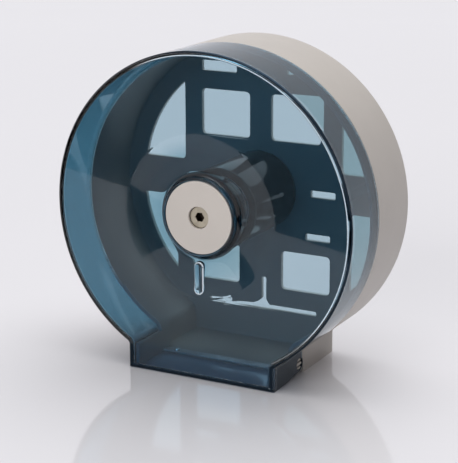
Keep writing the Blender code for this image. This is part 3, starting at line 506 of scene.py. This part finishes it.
housing = Skin()
housing_sweep = housing_rows()
housing.grid(housing_sweep)
plate_rims = [(housing_sweep[0], housing_sweep[-1])]
for opening in plate_openings():
    plate_rims.append(housing.walled(opening, plate_front_y, back_y, 0.0007, 3))
for screw_place in screw_places:
    sink = housing.turned(sink_profile, screw_place, 32)
    plate_rims.append((sink[0], sink[-1]))
for loops in zip(*plate_rims):
    housing.fill(loops)
for side in (-1, 1):
    boss_face, boss_wall = boss_rows(side)
    housing.grid(boss_face, closed=False)
    housing.grid(boss_wall)
    housing.fill([boss_wall[-1]], axis=0)
    cheek_faces = sorted([side * cheek_outer_x, side * (cheek_outer_x - cheek_wall)])
    housing.pressed([cheek_outline], *cheek_faces, 0.0004, axis=0, steps=3)
# Painted shade: the housing takes a darker copy of the beige.
beige = moulded_beige("moulded_beige_abs", 0.93)
housing.piece("drum_housing", beige, "base", "rear_housing")


# ---- Tear bar ----
# The strip that the tissue is torn off against: thin zinc-plated steel with 36 punched teeth, held
# on the floor's front edge by two cross-head screws.

bar_half, bar_depth, bar_tip, tooth_depth, teeth = 0.0604, 0.009, -0.01465, 0.0012, 36
bar_bottom, bar_thickness = 0.0028, 0.0008
bar_screw_y, bar_screw_x = bar_tip + bar_depth / 2, 0.8 * bar_half


def cross_head_screw(name, body, node, centre, seat, facing, sizes, axis=1):
    """A pan-head screw whose head looks along facing. Head: r = 0.62 R + 0.38 R cos t, height =
    0.4 h + 0.6 h sin t. Thread: r = r0 - depth * (1 - cos(2 pi s / pitch - a)) / 2 down the shank.
    The recess is a cross that narrows to 0.7 of its size at three quarters of the head's height."""
    shank, length, head, height = sizes
    made = Skin()
    t = np.linspace(0, math.pi / 2, 7)
    dome = polar(t, (0.38 * head, 0.6 * height), (0.62 * head, 0.4 * height))
    profile = np.array([(shank, 0), (head * 0.96, 0), (head, height * 0.06), *dome])
    profile[:, 1] = seat + facing * profile[:, 1]
    top = made.turned(profile, centre, 32, axis)[-1]
    arm, reach = 0.13 * head, 0.5 * head
    arm_end = np.array([(reach, -arm), (reach, arm), (arm, arm)])
    ways = ((1, 0), (0, 1), (-1, 0), (0, -1))
    cross = np.concatenate([arm_end @ [[c, s], [-s, c]] for c, s in ways])
    face = seat + facing * height
    recess = [standing(cross + centre, face, axis)]
    recess.append(standing(cross * 0.7 + centre, face - facing * height * 0.75, axis))
    made.grid(recess)
    made.fill([top, recess[0]], axis)
    made.fill([recess[1]], axis)
    pitch = 0.75 * shank
    s = np.linspace(0, length, int(length / pitch * 6))
    turn = np.arange(32) * 2 * math.pi / 32
    wave = (1 - np.cos(2 * math.pi * s[:, None] / pitch - turn)) / 2
    ends = np.clip((length - s) / shank, 0, 1)[:, None]
    grown = np.clip(s / pitch, 0, 1)[:, None]
    radius = shank * (1 - 0.16 * wave * grown) * (1 - 0.7 * (1 - ends) ** 2)
    radius = np.concatenate([radius, np.zeros((1, 32))])
    along = seat - facing * np.append(s, length)
    made.turned(np.c_[along * 0, along], centre, 32, axis, radius=radius)
    made.piece(name, zinc_plate, body, node)


def plated_steel(name, tint):
    """Zinc-plated steel: a cool bright metal with soft cloudy patches and fine drawn streaks."""
    finish = Finish(name, "zinc_steel", Metallic=1.0)
    cloud = finish.noise(260, 4)
    streak = finish.noise((90, 2400, 2400), 3)
    dull = tuple(0.82 * channel for channel in tint)
    finish.shows(Base_Color=finish.blend(cloud.rising(0.35, 0.7), tint, dull))
    finish.shows(Roughness=0.22 + cloud * 0.16 + streak * 0.08)
    finish.bumped(streak + cloud, 0.00002, 0.3)
    return finish


zinc_plate = plated_steel("zinc_plated_steel", (0.66, 0.67, 0.68))
across = np.arange(2 * teeth + 1)
saw = np.c_[bar_half * (across / teeth - 1), bar_tip + tooth_depth * (across % 2 == 0)]
bar_back = bar_tip + bar_depth
bar_outline = np.concatenate([saw, [(bar_half, bar_back), (-bar_half, bar_back)]])
bar_holes = [circle(x, bar_screw_y, 0.0015, 24) for x in (-bar_screw_x, bar_screw_x)]
bar_top = bar_bottom + bar_thickness
tear_bar = Skin().pressed([bar_outline, *bar_holes], bar_bottom, bar_top, 0.00004, axis=2, steps=1)
tear_bar.piece("toothed_tear_bar", zinc_plate, "base", "tear_bar")
bar_seat = bar_top + gap
sizes = 0.0012, bar_seat - 0.001, 0.0024, 0.0013
for side, x in (("left", -bar_screw_x), ("right", bar_screw_x)):
    name, node = f"bar_screw_{side}", f"tear_bar_screw_{side}"
    cross_head_screw(name, "base", node, (x, bar_screw_y), bar_seat, 1, sizes, axis=2)


# ---- Spindle post ----
# The fixed post that carries the roll spool: glass-filled grey plastic, screwed to the back plate
# from behind with three screws, with a groove for the ring that keeps the spool on.

post_radius, post_bore, post_front, post_back = 0.021, 0.0152, -0.02565, 0.05345
flange_radius, flange_front = 0.0295, 0.05025
shoulder_radius, shoulder_front = 0.0255, 0.04125
ring_groove, ring_front, ring_back = 0.0202, -0.02335, -0.02175
keeper_screw_reach = 0.0181


def softened(corners, edge, steps=3):
    """A profile whose corners are turned into quadratic curves, with its ends kept."""
    curve = soft_corners(corners, edge, steps, 0.4)[steps + 1:-steps - 1]
    return np.concatenate([corners[:1], curve, corners[-1:]])


def blind_holes(skin, places, radius, mouth, end):
    """Drilled holes from a face at mouth to end, with closed bottoms. Returns their mouths."""
    profile = [(radius, mouth), (radius, end), (0, end)]
    return [skin.turned(profile, place, 24)[0] for place in places]


# Glass-filled grey plastic: dull, with a fine fibrous mottle and slightly shiny high spots.
filled = Finish("filled_grey_plastic", "grey_plastic", IOR=1.5)
fibre, cloud = filled.noise((1500, 400, 1500), 4), filled.noise(60, 3)
tone = filled.blend(fibre.rising(0.35, 0.65), (0.155, 0.155, 0.15), (0.205, 0.205, 0.198))
filled.shows(Base_Color=tone, Roughness=0.42 + fibre * 0.14 + cloud * 0.06)
filled.bumped(fibre, 0.00005, 0.4)

post_profile = softened([
    (flange_radius - 0.0012, post_back), (flange_radius, post_back), (flange_radius, flange_front),
    (shoulder_radius, flange_front), (shoulder_radius, shoulder_front),
    (post_radius, shoulder_front), (post_radius, ring_back + gap),
    (ring_groove, ring_back + gap), (ring_groove, ring_front - gap),
    (post_radius, ring_front - gap), (post_radius, post_front),
    (post_radius - 0.0007, post_front),
], 0.0004)
bore_profile = softened([
    (post_bore + 0.0005, post_front), (post_bore, post_front), (post_bore, post_back),
    (post_bore + 0.0005, post_back),
], 0.0004)
post = Skin()
post_outside = post.turned(post_profile, hub, 144)
post_inside = post.turned(bore_profile, hub, 144)
screw_head_front = back_y - 0.0026 + gap
post_holes = blind_holes(post, screw_places, 0.0019, post_back, screw_head_front - 0.0088)
keeper_screw_places = [(0, hub_height - keeper_screw_reach), (0, hub_height + keeper_screw_reach)]
keeper_seat = -0.02775
keeper_holes = blind_holes(post, keeper_screw_places, 0.0015, post_front, keeper_seat + 0.0083)
post.fill([post_outside[0], post_inside[-1], *post_holes])
post.fill([post_outside[-1], post_inside[0], *keeper_holes])
post.piece("spindle", filled, "base", "spindle_post")
sizes = 0.0016, 0.0085, 0.0036, 0.0022
for number, place in enumerate(screw_places, start=1):
    name, node = f"wall_side_screw_{number}", f"post_screw_{number}"
    cross_head_screw(name, "base", node, place, screw_head_front, 1, sizes)


# ---- Roll spool ----
# The hollow spool that the jumbo roll hangs on: glossy near-black ABS with a web at each end. It
# turns on two flanged nylon bushes, and a sprung steel ring in the post's groove keeps it there.

spool_front, spool_back = -0.02025, 0.05315
spool_front_radius, spool_back_radius, spool_wall, web_thickness = 0.034, 0.0345, 0.0026, 0.0034
web_bore, rear_web_back = 0.0249, 0.03975
bush_bore, bush_radius, bush_length = 0.0213, 0.0246, 0.009
bush_flange, flange_width = 0.0009, 0.003

# Polished near-black ABS: a deep gloss with faint rings of wear where rolls have turned on it, and
# a light dusting of fine scuffs.
gloss = Finish("gloss_dark_abs", "dark_plastic", IOR=1.54)
rings = gloss.noise((20, 1400, 20), 3)
scuffs = gloss.noise(320, 5, roughness=0.7).rising(0.52, 0.72)
tone = gloss.blend(scuffs * 0.5, (0.014, 0.017, 0.021), (0.05, 0.054, 0.06))
gloss.shows(Base_Color=tone, Roughness=0.1 + scuffs * 0.16 + rings * 0.05)
gloss.bumped(rings, 0.00001, 0.25)

# White nylon, waxy and slightly translucent, a touch grey on the faces that rub.
nylon = Finish("white_nylon", "white_nylon", IOR=1.53, Subsurface_Weight=0.15)
nylon.shows(Subsurface_Scale=0.001)
wear = nylon.noise(240, 4).rising(0.4, 0.7)
tone = nylon.blend(wear, (0.74, 0.73, 0.69), (0.6, 0.59, 0.55))
nylon.shows(Base_Color=tone, Roughness=0.38 + wear * 0.15)
nylon.bumped(wear, 0.00002, 0.3)

front_inner, back_inner = spool_front_radius - spool_wall, spool_back_radius - spool_wall
spool_profile = softened([
    (back_inner + 0.001, spool_back), (spool_back_radius, spool_back),
    (spool_front_radius, spool_front), (web_bore, spool_front),
    (web_bore, spool_front + web_thickness), (front_inner, spool_front + web_thickness),
    (back_inner, rear_web_back - web_thickness), (web_bore, rear_web_back - web_thickness),
    (web_bore, rear_web_back), (back_inner, rear_web_back), (back_inner, spool_back),
    (back_inner + 0.001, spool_back),
], 0.0011, 5)
spool = Skin()
spool.turned(spool_profile, hub, 192)
spool.piece("hollow_roll_spool", gloss, "spool", "roll_spool")

bush_out = bush_radius + flange_width
for end, seat, way in (("front", spool_front - gap, -1), ("rear", rear_web_back + gap, 1)):
    inside, outside = seat - way * bush_length, seat + way * bush_flange
    bush = Skin()
    bush.turned(softened([
        (bush_bore + 0.0012, inside), (bush_radius, inside), (bush_radius, seat),
        (bush_out, seat), (bush_out, outside), (bush_bore, outside), (bush_bore, inside),
        (bush_bore + 0.0012, inside),
    ], 0.0003), hub, 128)
    bush.piece(f"flanged_bush_{end}", nylon, "spool", f"spool_bush_{end}")


def open_ring(inner, outer, mouth):
    """The outline of a sprung ring with its mouth at the bottom: an outer arc, and an inner arc run
    back, both ending where they stand mouth / 2 from the upright centre line."""
    arcs = []
    for radius in (outer, inner):
        start = math.asin(mouth / 2 / radius)
        turn = np.linspace(start, 2 * math.pi - start, 90) - math.pi / 2
        arcs.append(polar(turn, radius, hub))
    return np.concatenate([arcs[0], arcs[1][::-1]])


ring_inner = ring_groove + gap
ring_outline = open_ring(ring_inner, ring_inner + 0.0045, 0.012)
retaining_ring = Skin().pressed([ring_outline], ring_front, ring_back, 0.0002)
spring_steel = plated_steel("spring_steel", (0.5, 0.5, 0.51))
retaining_ring.piece("spring_retaining_ring", spring_steel, "base", "spool_retaining_ring")


# ---- Lock keeper ----
# The slotted plate on the post's end: punched zinc-plated steel, held by two cross-head screws.
# The lock's cam goes in through its slot and turns behind it.

keeper_front, keeper_back, keeper_radius = -0.02745, -0.02595, 0.0205
slot_reach, slot_half, throat = 0.0145, 0.0062, 0.0084
throat_half = math.sqrt(throat**2 - slot_half**2)
throat_turn = math.atan2(slot_half, throat_half)
upper = np.linspace(throat_turn, math.pi - throat_turn, 16)
upper_bow = polar(upper, throat)
slot_ends = [(-slot_reach, slot_half), (-slot_reach, -slot_half)]
keeper_slot = np.concatenate([upper_bow, slot_ends, -upper_bow, -np.array(slot_ends)]) + hub
keeper_outlines = [circle(0, hub_height, keeper_radius, 120), keeper_slot]
keeper_outlines += [circle(x, z, 0.0015, 20) for x, z in keeper_screw_places]
keeper = Skin().pressed(keeper_outlines, keeper_front, keeper_back, 0.0002)
keeper.piece("slotted_keeper", zinc_plate, "base", "lock_keeper")
sizes = 0.0012, 0.008, 0.0024, 0.0014
for end, place in zip(("lower", "upper"), keeper_screw_places):
    name, node = f"keeper_plate_screw_{end}", f"keeper_screw_{end}"
    cross_head_screw(name, "base", node, place, keeper_seat, -1, sizes)


# ---- Clear cover ----
# The tinted front: raised rim, plate, shallow dish with the collar that carries cap and lock, drum
# wall and foot walls with the hinge eyes. One polished moulding in clear blue-grey plastic.

cover_back_y, cover_wall = -0.00425, 0.003
plate_face_y, plate_rear_y = -0.05705, -0.05405
rim_width, rim_round, rim_slope_width, rim_slope_depth = 0.004, 0.0022, 0.0016, 0.0006
cover_fillet, cover_edge = 0.001, 0.0004
eye_radius, eye_hole = 0.0066, 0.005
dish_foot, dish_edge, dish_depth, dish_floor = 0.037, 0.069, 0.0043, -0.05275
bead_x, bead_z, bead_half = -0.0011, hub_height - 0.05145, 0.00955
wall_start_y, rim_end_y = plate_rear_y + cover_fillet, front_y + rim_round


def foot_strip(side):
    """A foot wall's free edge as rows between its two faces. Its path in (y, z) runs down the back,
    round the hinge eye, and forward along the bottom, which falls as rise * (1 - cos(pi s)) / 2. A
    row stands at its own inset from the outer face, and lies off the path, along its normal, by
    its share of the rounding. The last two points aren't rounded."""
    top = math.acos((cover_back_y - hinge_y) / eye_radius)
    turn = np.linspace(top, -math.pi / 2, 40)
    start = front_y + 0.02
    s = np.linspace(1, 0, 30)[1:]
    rise = (hinge_z - eye_radius) * (1 - np.cos(math.pi * s)) / 2
    down = np.linspace(fillet_z, hinge_z + eye_radius * math.sin(top), 8)[:-1]
    path = np.concatenate([
        np.c_[np.full(len(down), cover_back_y), down],
        polar(turn, eye_radius, (hinge_y, hinge_z)),
        np.c_[start + (hinge_y - start) * s, rise],
        [(start + (wall_start_y - start) * 0.8, 0), (wall_start_y, 0)],
    ])
    rounded = np.append(np.ones(len(path) - 2), (0, 0))[:, None]
    chord = np.gradient(path, axis=0)
    chord[0], chord[-1] = (0, -1), (-1, 0)
    normal = np.c_[chord[:, 1], -chord[:, 0]]
    normal /= np.linalg.norm(normal, axis=1, keepdims=True)
    turns = quarter(cover_edge, 3)
    rows = []
    for inset, off in turns[::-1] + [(cover_wall - a, b) for a, b in turns]:
        x = np.full(len(path), side * (foot_half_width - inset))
        rows.append(np.c_[x, path + normal * off * rounded])
    return np.stack(rows)


def dish_y(radius):
    """The dish's face: y = floor - depth * s^1.1, with s from 0 at the collar to 1 at the edge."""
    s = np.maximum((radius - dish_foot) / (dish_edge - dish_foot), 0)
    return dish_floor - dish_depth * s**1.1


def dish_rows():
    """Half section of the cover's middle as (radius, y): the dish, the collar and its round crest,
    the cap's seat, the lock's web, the collar tube behind, and the dish's back."""
    reach = np.linspace(dish_edge, dish_foot, 24)
    front = np.c_[reach, dish_y(reach)]
    seat, crest, half = 0.0309, 0.03195, 0.00105
    collar = [(dish_foot - 0.004 + a, dish_floor - b) for a, b in quarter(0.004, 8)[1:]]
    bow = polar(-np.linspace(0, math.pi, 15), half, (crest, -0.0569))
    lock_seat = softened([
        bow[-1], (seat, -0.05465), (0.0091, -0.05465), (0.0091, -0.05305), (0.0073, -0.05305),
        (0.0073, -0.05165), (0.0278, -0.05165), (0.0278, -0.02825), (0.0302, -0.02825),
        (0.0312, -0.0457),
    ], 0.0004)[1:]
    bend = np.linspace(0, math.pi / 2, 9)[1:]
    rear_foot = polar(bend, (-0.0068, -0.00405), (0.038, -0.0457))
    rear = front[::-1] + (0, cover_wall)
    return np.concatenate([front, collar, bow, lock_seat, rear_foot, rear[rear[:, 0] > 0.0385]])


def long_bead():
    """The long bead below the collar, a stadium of half width w whose section is a half ellipse: at
    an inset i the height is crest + h * (1 - sqrt(1 - (1 - i / w)^2)). It is rooted in the dish."""
    half, crest, drop = 0.0045, -0.05705, 0.0021
    way = polar(np.linspace(0, math.pi, 17))
    way = np.concatenate([way, -way])
    ends = np.repeat([(bead_x, bead_z + bead_half), (bead_x, bead_z - bead_half)], 17, axis=0)
    rows = []
    for share in np.sin(np.linspace(0, math.pi / 2, 12)):
        y = crest + drop * (1 - math.sqrt(1 - share**2))
        rows.append(standing(ends + way * half * share, y))
    root = rows[-1].copy()
    root[:, 1] = dish_y(np.hypot(root[:, 0], root[:, 2] - hub_height)) + 0.0015
    return rows + [root]


def tinted_clear(name):
    """Clear blue-grey plastic: a polished face over a body that takes out red first, with faint
    hairlines and haze. What it mirrors in a studio is painted: thin bright lines by the rim, the
    bead and the rear edge, and a dark outer edge, rear edge, underside, foot sides and hinge eyes.
    Painted shade too: the walls are darker on the left and low down, and the plate is darker and
    less red low down."""
    finish = Finish(name, "tinted_clear_plastic", Transmission_Weight=1.0, IOR=1.49)
    x, y, z = finish.axes()
    from_hub, from_hinge = finish.off_line(*hub), finish.off_line(hinge_y, hinge_z, 0)
    haze = finish.noise(14, 5, roughness=0.7).rising(0.5, 0.75)
    hairline = finish.noise((700, 700, 60), 2).rising(0.62, 0.7)
    low, behind_plate = z.falling(0.018, 0.03), y.rising(plate_rear_y, wall_start_y + 0.002)
    outer_edge = (from_hub - x.falling(-0.06, 0.02) * 0.0008).rising(0.1327, 0.1336)
    outer_edge = outer_edge * y.falling(-0.001, -0.0003, plate_face_y)
    # Painted shade: a dark band along the rear edge.
    rear_edge = y.rising(-0.0011, -0.0005, cover_back_y)
    # Painted shade: the walls are tinted darker on the left and, more strongly, low down.
    wall_tone = finish.blend(x.rising(-0.02, 0.06), (0.26, 0.48, 0.55), (0.46, 0.62, 0.62))
    wall_tone = finish.blend(low, wall_tone, (0.08, 0.16, 0.21))
    # Painted shade: the plate is darker and less red low down, over the inside seen through it.
    plate_tone = finish.blend(z.rising(0.03, 0.085), (0.88, 0.99, 1.0), (1.0, 1.0, 1.0))
    plate_tone = finish.blend(low, plate_tone, (0.62, 0.85, 1.0))

    on_drum = from_hub.within(0.1311, 0.13125, 0.132, 0.1322)
    on_foot = abs(x).within(0.06435, 0.06455, 0.0653, 0.0655) * z.falling(0.019, 0.021)
    on_bottom = z.within(0.0026, 0.003, 0.0042, 0.0044) * 0.36
    slope = (on_drum + on_foot + on_bottom) * y.falling(-0.0004, -0.0002, plate_face_y)
    slope = slope * x.rising(-0.09, -0.01) * (0.36 + 0.64 * z.rising(0.035, 0.085))
    rear_line = y.within(-0.0019, -0.0017, -0.0012, -0.001, cover_back_y)
    beside, above = x - bead_x, abs(z - bead_z) - bead_half
    above = above.math("MAXIMUM", above, 0.0)
    off_bead = beside.math("SQRT", beside * beside + above * above)
    bead_side = off_bead.within(0.0032, 0.0034, 0.0043, 0.0045) * y.falling(-0.0526, -0.0522)
    bright = (slope + rear_line * 0.5 + bead_side * 0.6).rising(0.2, 0.8)

    outer_round = from_hub.rising(0.134, 0.1345) * y.falling(-0.0564, -0.0558)
    outer_round = outer_round * z.rising(0.0195, 0.0215)
    underside = z.falling(0.0016, 0.0022) * (1 - behind_plate)
    foot_side = abs(x).rising(0.0676, 0.0682) * z.falling(0.0185, 0.0205) * behind_plate
    eye_wall = from_hinge.falling(0.0056, 0.0059) * abs(x).rising(0.064, 0.065)
    dark = outer_edge + outer_round + underside + foot_side * 0.8 + eye_wall
    dark = (dark * (1 - bright)).rising(0.05, 0.95)

    tone = finish.blend(behind_plate, plate_tone, wall_tone)
    for mask, colour in (
        (outer_edge + rear_edge, (0.02, 0.05, 0.07)), (haze * 0.03, (0.6, 0.7, 0.8)),
        (bright, (0.72, 0.84, 0.9)), (dark, (0.01, 0.022, 0.036)),
    ):
        tone = finish.blend(mask, tone, colour)
    finish.shows(Base_Color=tone, Metallic=bright + dark * 0.85)
    finish.shows(Roughness=0.012 + haze * 0.015 + hairline * 0.012)
    finish.bumped(haze, 0.00002, 0.05)
    through = finish.node("ShaderNodeBsdfTransparent", {}, {"Color": (0.19, 0.385, 0.49, 1)})
    seen = Value(finish, finish.shader.outputs["BSDF"])
    for ray in ("Is Shadow Ray", "Is Diffuse Ray"):
        light = finish.node("ShaderNodeLightPath", {}, {}, ray)
        seen = finish.node("ShaderNodeMixShader", {}, {0: light, 1: seen, 2: through})
    body_tint = {"Color": (0.022, 0.396, 0.555, 1), "Density": 245}
    output = finish.tree.nodes["Material Output"]
    finish.feed(output.inputs["Surface"], seen)
    finish.feed(output.inputs["Volume"], finish.node("ShaderNodeVolumeAbsorption", {}, body_tint))
    return finish


drum_columns = int(np.sum(part <= 1)) - bends
arch = np.r_[-bends:0, 0:drum_columns]
legs = np.r_[-bends - sides:0, 0:drum_columns + sides]
cover = Skin()
# The rim from the plate's face: a hollow fillet, an upright flank that leans by a soft inner edge,
# the flat crest and the large outer round.
rim = [ring(rim_width + a, plate_face_y - b, rim_width + a) for a, b in quarter(0.0006, 4)]
for a, b in quarter(1, 7):
    inset = rim_width - rim_slope_width * b
    rim.append(ring(inset, front_y + rim_slope_depth * a, inset))
rim += [ring(a, front_y + b, a) for a, b in quarter(rim_round, 8)]
cover.grid(rim)
# The drum wall back from the rim: outer face, rounded rear edge and inner face.
edge_turns = quarter(cover_edge, 3)
drum_wall = [ring(0, rim_end_y, 0)]
drum_wall += [ring(a, cover_back_y - b, 0) for a, b in edge_turns[::-1]]
drum_wall += [ring(cover_wall - a, cover_back_y - b, 0) for a, b in edge_turns]
drum_wall.append(ring(cover_wall, wall_start_y, 0))
cover.grid([row[arch] for row in drum_wall], closed=False)
# The hollow corner between the walls and the plate's rear face.
corner_turns = quarter(cover_fillet, 4)[::-1]
inner_corner = [ring(cover_wall + a, plate_rear_y + b, 0)[legs] for a, b in corner_turns]
cover.grid(inner_corner, closed=False)
dish = cover.turned(dish_rows(), hub, 288)
cover.fill([rim[0], dish[0]])
cover.fill([inner_corner[-1], dish[-1]])
leg_heights = fillet_z * np.linspace(0, 1, sides + 1)
eye_turns = quarter(0.0003, 2)
eye_profile = [(eye_hole + a, b) for a, b in eye_turns]
eye_profile += [(eye_hole + a, cover_wall - b) for a, b in eye_turns[::-1]]
strips = {}
for side in (-1, 1):
    strip = strips[side] = foot_strip(side)
    cover.grid(strip, closed=False)
    eye_side = [(radius, side * (foot_half_width - inset)) for radius, inset in eye_profile]
    eye = cover.turned(eye_side, (hinge_y, hinge_z), 64, axis=0)
    for path, hole, y in ((strip[0], eye[0], rim_end_y), (strip[-1], eye[-1], wall_start_y)):
        front_edge = np.insert(leg_heights[:, None], 0, [[path[0, 0]], [y]], axis=1)
        cover.fill([np.concatenate([path, front_edge]), hole], axis=0)
corner_ends = np.array(inner_corner)[:, [0, -1]]
cover.fill([np.concatenate([
    rim[-1][on_run], strips[1][:, -1], corner_ends[:, 0], corner_ends[::-1, 1], strips[-1][::-1, -1]
])], axis=2)
bead = Skin()
bead_rows = long_bead()
bead.grid(bead_rows)
bead.grid([bead_rows[-1], bead_rows[-1] * 0 + bead_rows[-1].mean(axis=0)])
clear_blue = tinted_clear("clear_blue_grey_plastic")
bead_shell = bead.object("long_bead", clear_blue)
cover.piece("clear_cover", clear_blue, "cover", "front_cover", bead_shell)


# ---- Cap and lock ----
# A beige disc pressed into the collar's seat, and the lock through its middle: a die-cast barrel
# with a hexagon socket, kept in by a sprung clip, with a steel cam screwed to its square end.

cap_radius, cap_bore, cap_front, cap_back = 0.0304, 0.0091, -0.05795, -0.05495
head_radius, barrel_radius = 0.0088, 0.007
barrel_face, barrel_shoulder, barrel_back = -0.05565, -0.05335, -0.02525
clip_groove, clip_front, clip_back = 0.0062, -0.05135, -0.05015
socket_radius, socket_end, tenon_half = 0.0072 / math.sqrt(3), -0.04765, 0.0034
cam_front, cam_back, cam_reach, cam_half, cam_hole = -0.02495, -0.02195, 0.0135, 0.0045, 0.0037

# Die-cast zinc, polished and then handled: warm, dull in cloudy patches, with painted shade
# darkening the socket with depth.
die_cast = Finish("die_cast_lock_metal", "lock_metal", Metallic=1.0)
cloud = die_cast.noise(420, 4)
handled = die_cast.noise(160, 5, roughness=0.7).rising(0.45, 0.7)
painted_socket_shade = list(die_cast.axes())[1].rising(0.0003, 0.003, barrel_face)
tone = die_cast.blend(handled, (0.62, 0.56, 0.44), (0.44, 0.39, 0.3))
tone = die_cast.blend(painted_socket_shade, tone, (0.075, 0.06, 0.045))
die_cast.shows(Base_Color=tone, Roughness=0.26 + cloud * 0.12 + handled * 0.14)
die_cast.bumped(cloud + handled, 0.00002, 0.35)


cap_profile = softened([
    (cap_radius - 0.001, cap_back), (cap_radius, cap_back), (cap_radius, cap_front),
    (cap_bore, cap_front), (cap_bore, cap_back), (cap_radius - 0.001, cap_back),
], 0.0008, 5)
cap = Skin()
cap.turned(cap_profile, hub, 192)
# Painted light: the cap takes a lighter copy of the beige.
cap_beige = moulded_beige("cap_beige_abs", 1.06)
cap.piece("beige_cap", cap_beige, "cover", "lock_cap")

barrel = Skin()
barrel_outside = barrel.turned(softened([
    (socket_radius + 0.001, barrel_face), (head_radius, barrel_face),
    (head_radius, barrel_shoulder), (barrel_radius, barrel_shoulder),
    (barrel_radius, clip_front - gap), (clip_groove, clip_front - gap),
    (clip_groove, clip_back + gap), (barrel_radius, clip_back + gap),
    (barrel_radius, barrel_back), (barrel_radius - 0.0005, barrel_back),
], 0.0005, 4), hub, 96)
hexagon = circle(*hub, 1.0, 6) - hub
socket_rows = [
    standing(hexagon * radius + hub, y)
    for radius, y in (
        (socket_radius + 0.0003, barrel_face), (socket_radius, barrel_face + 0.0003),
        (socket_radius, socket_end), (0.0, socket_end + 0.0008),
    )
]
barrel.grid(socket_rows)
barrel.fill([barrel_outside[0], socket_rows[0]])
tenon_end = cam_back - gap
tenon = box(-tenon_half, tenon_half, -tenon_half, tenon_half) + hub
tenon_rows = [standing(tenon, barrel_back), standing(tenon, tenon_end)]
barrel.grid(tenon_rows)
barrel.fill([barrel_outside[-1], tenon_rows[0]])
screw_hole = barrel.turned([(0.002, tenon_end), (0.002, -0.03395), (0, -0.03395)], hub, 32)
barrel.fill([tenon_rows[1], screw_hole[0]])
barrel.piece("hex_key_barrel", die_cast, "lock", "lock_barrel")

clip_inner = clip_groove + gap
clip_outline = open_ring(clip_inner, clip_inner + 0.0045, 0.009)
clip = Skin().pressed([clip_outline], clip_front, clip_back, 0.0002)
clip.piece("sprung_lock_clip", spring_steel, "lock", "lock_clip")

cam_rim = soft_corners(box(-cam_reach, cam_reach, -cam_half, cam_half) + hub, cam_half / 2)
cam_eye = box(-cam_hole, cam_hole, -cam_hole, cam_hole) + hub
cam = Skin().pressed([cam_rim, cam_eye], cam_front, cam_back, 0.00025)
cam.piece("steel_cam", zinc_plate, "lock", "lock_cam")
sizes = 0.0017, 0.012, 0.0054, 0.0022
cross_head_screw("cam_fixing_screw", "lock", "cam_screw", hub, cam_back + gap, 1, sizes)


# ---- Stage, lights and camera ----
# A plain pale table and backdrop, soft lamps and the camera at the photograph's place.


def stage_plane(name, height, corners, finish):
    """A flat stage piece through (x, y) corners at one height."""
    mesh = bpy.data.meshes.new(name)
    mesh.from_pydata([(x, y, height) for x, y in corners], [], [tuple(range(len(corners)))])
    mesh.materials.append(finish.material)
    thing = bpy.data.objects.new(name, mesh)
    bpy.context.scene.collection.objects.link(thing)
    return thing


near, far = [(-6, -2.957), (6, 2.083)], [(6, 12), (-6, 12)]
white_gloss = Finish("white_gloss_table", Base_Color=(0.76, 0.75, 0.78, 1), IOR=1.65)
white_gloss.shows(Roughness=0.05 + white_gloss.noise(6, 4) * 0.05)
stage_plane("table_top", 0, near + far, white_gloss)
apron = stage_plane("table_apron", 0, [(-6, -6), (6, -6), *near[::-1]], white_gloss)
apron.visible_glossy = False
matt_black = Finish("dark_studio_floor", Base_Color=(0.01, 0.01, 0.011, 1), Roughness=0.9)
studio_floor = stage_plane("studio_floor", -0.75, box(-12, 9, -6.7, 4), matt_black)
for ray in ("camera", "diffuse", "transmission", "shadow"):
    setattr(studio_floor, f"visible_{ray}", False)

world = bpy.data.worlds.new("studio")
bpy.context.scene.world = world
sky = Nodes(world)
seen = sky.node("ShaderNodeLightPath", {}, {}, "Is Camera Ray")
for ray in ("Is Glossy Ray", "Is Transmission Ray"):
    seen = seen.math("MAXIMUM", seen, sky.node("ShaderNodeLightPath", {}, {}, ray))
walls = sky.tree.nodes["Background"]
sky.feed(walls.inputs["Color"], (0.83, 0.82, 0.86, 1))
sky.feed(walls.inputs["Strength"], 0.09 + seen * 0.91)


def studio_light(name, toward, spread, level):
    """A soft lamp far away in the direction toward, spread degrees wide, that lights a white face
    turned to it at level."""
    lamp = bpy.data.lights.new(name, "SUN")
    lamp.angle, lamp.energy = math.radians(spread), math.pi * level
    thing = bpy.data.objects.new(name, lamp)
    thing.rotation_euler = Vector(toward).to_track_quat("Z", "Y").to_euler()
    bpy.context.scene.collection.objects.link(thing)
    return thing


studio_light("overhead_softbox", (0.04, 0.16, 1), 72, 0.86)
front_lamp = studio_light("front_softbox", (-0.08, -0.96, 0.24), 50, 0.52)
front_lamp.visible_glossy = False

camera_place, camera_aim = Vector((0.5996, -1.1278, 0.4613)), Vector((0.00157, -0.00825, 0.11538))
lens = bpy.data.cameras.new("camera")
lens.sensor_width, lens.lens = 36, 122.38
camera = bpy.data.objects.new("camera", lens)
turn = (camera_aim - camera_place).to_track_quat("-Z", "Y").to_matrix()
roll = Matrix.Rotation(math.radians(-0.23), 3, "Z")
camera.matrix_world = Matrix.Translation(camera_place) @ (turn @ roll).to_4x4()
bpy.context.scene.collection.objects.link(camera)
bpy.context.scene.camera = camera
bpy.context.scene.view_settings.view_transform = "Standard"
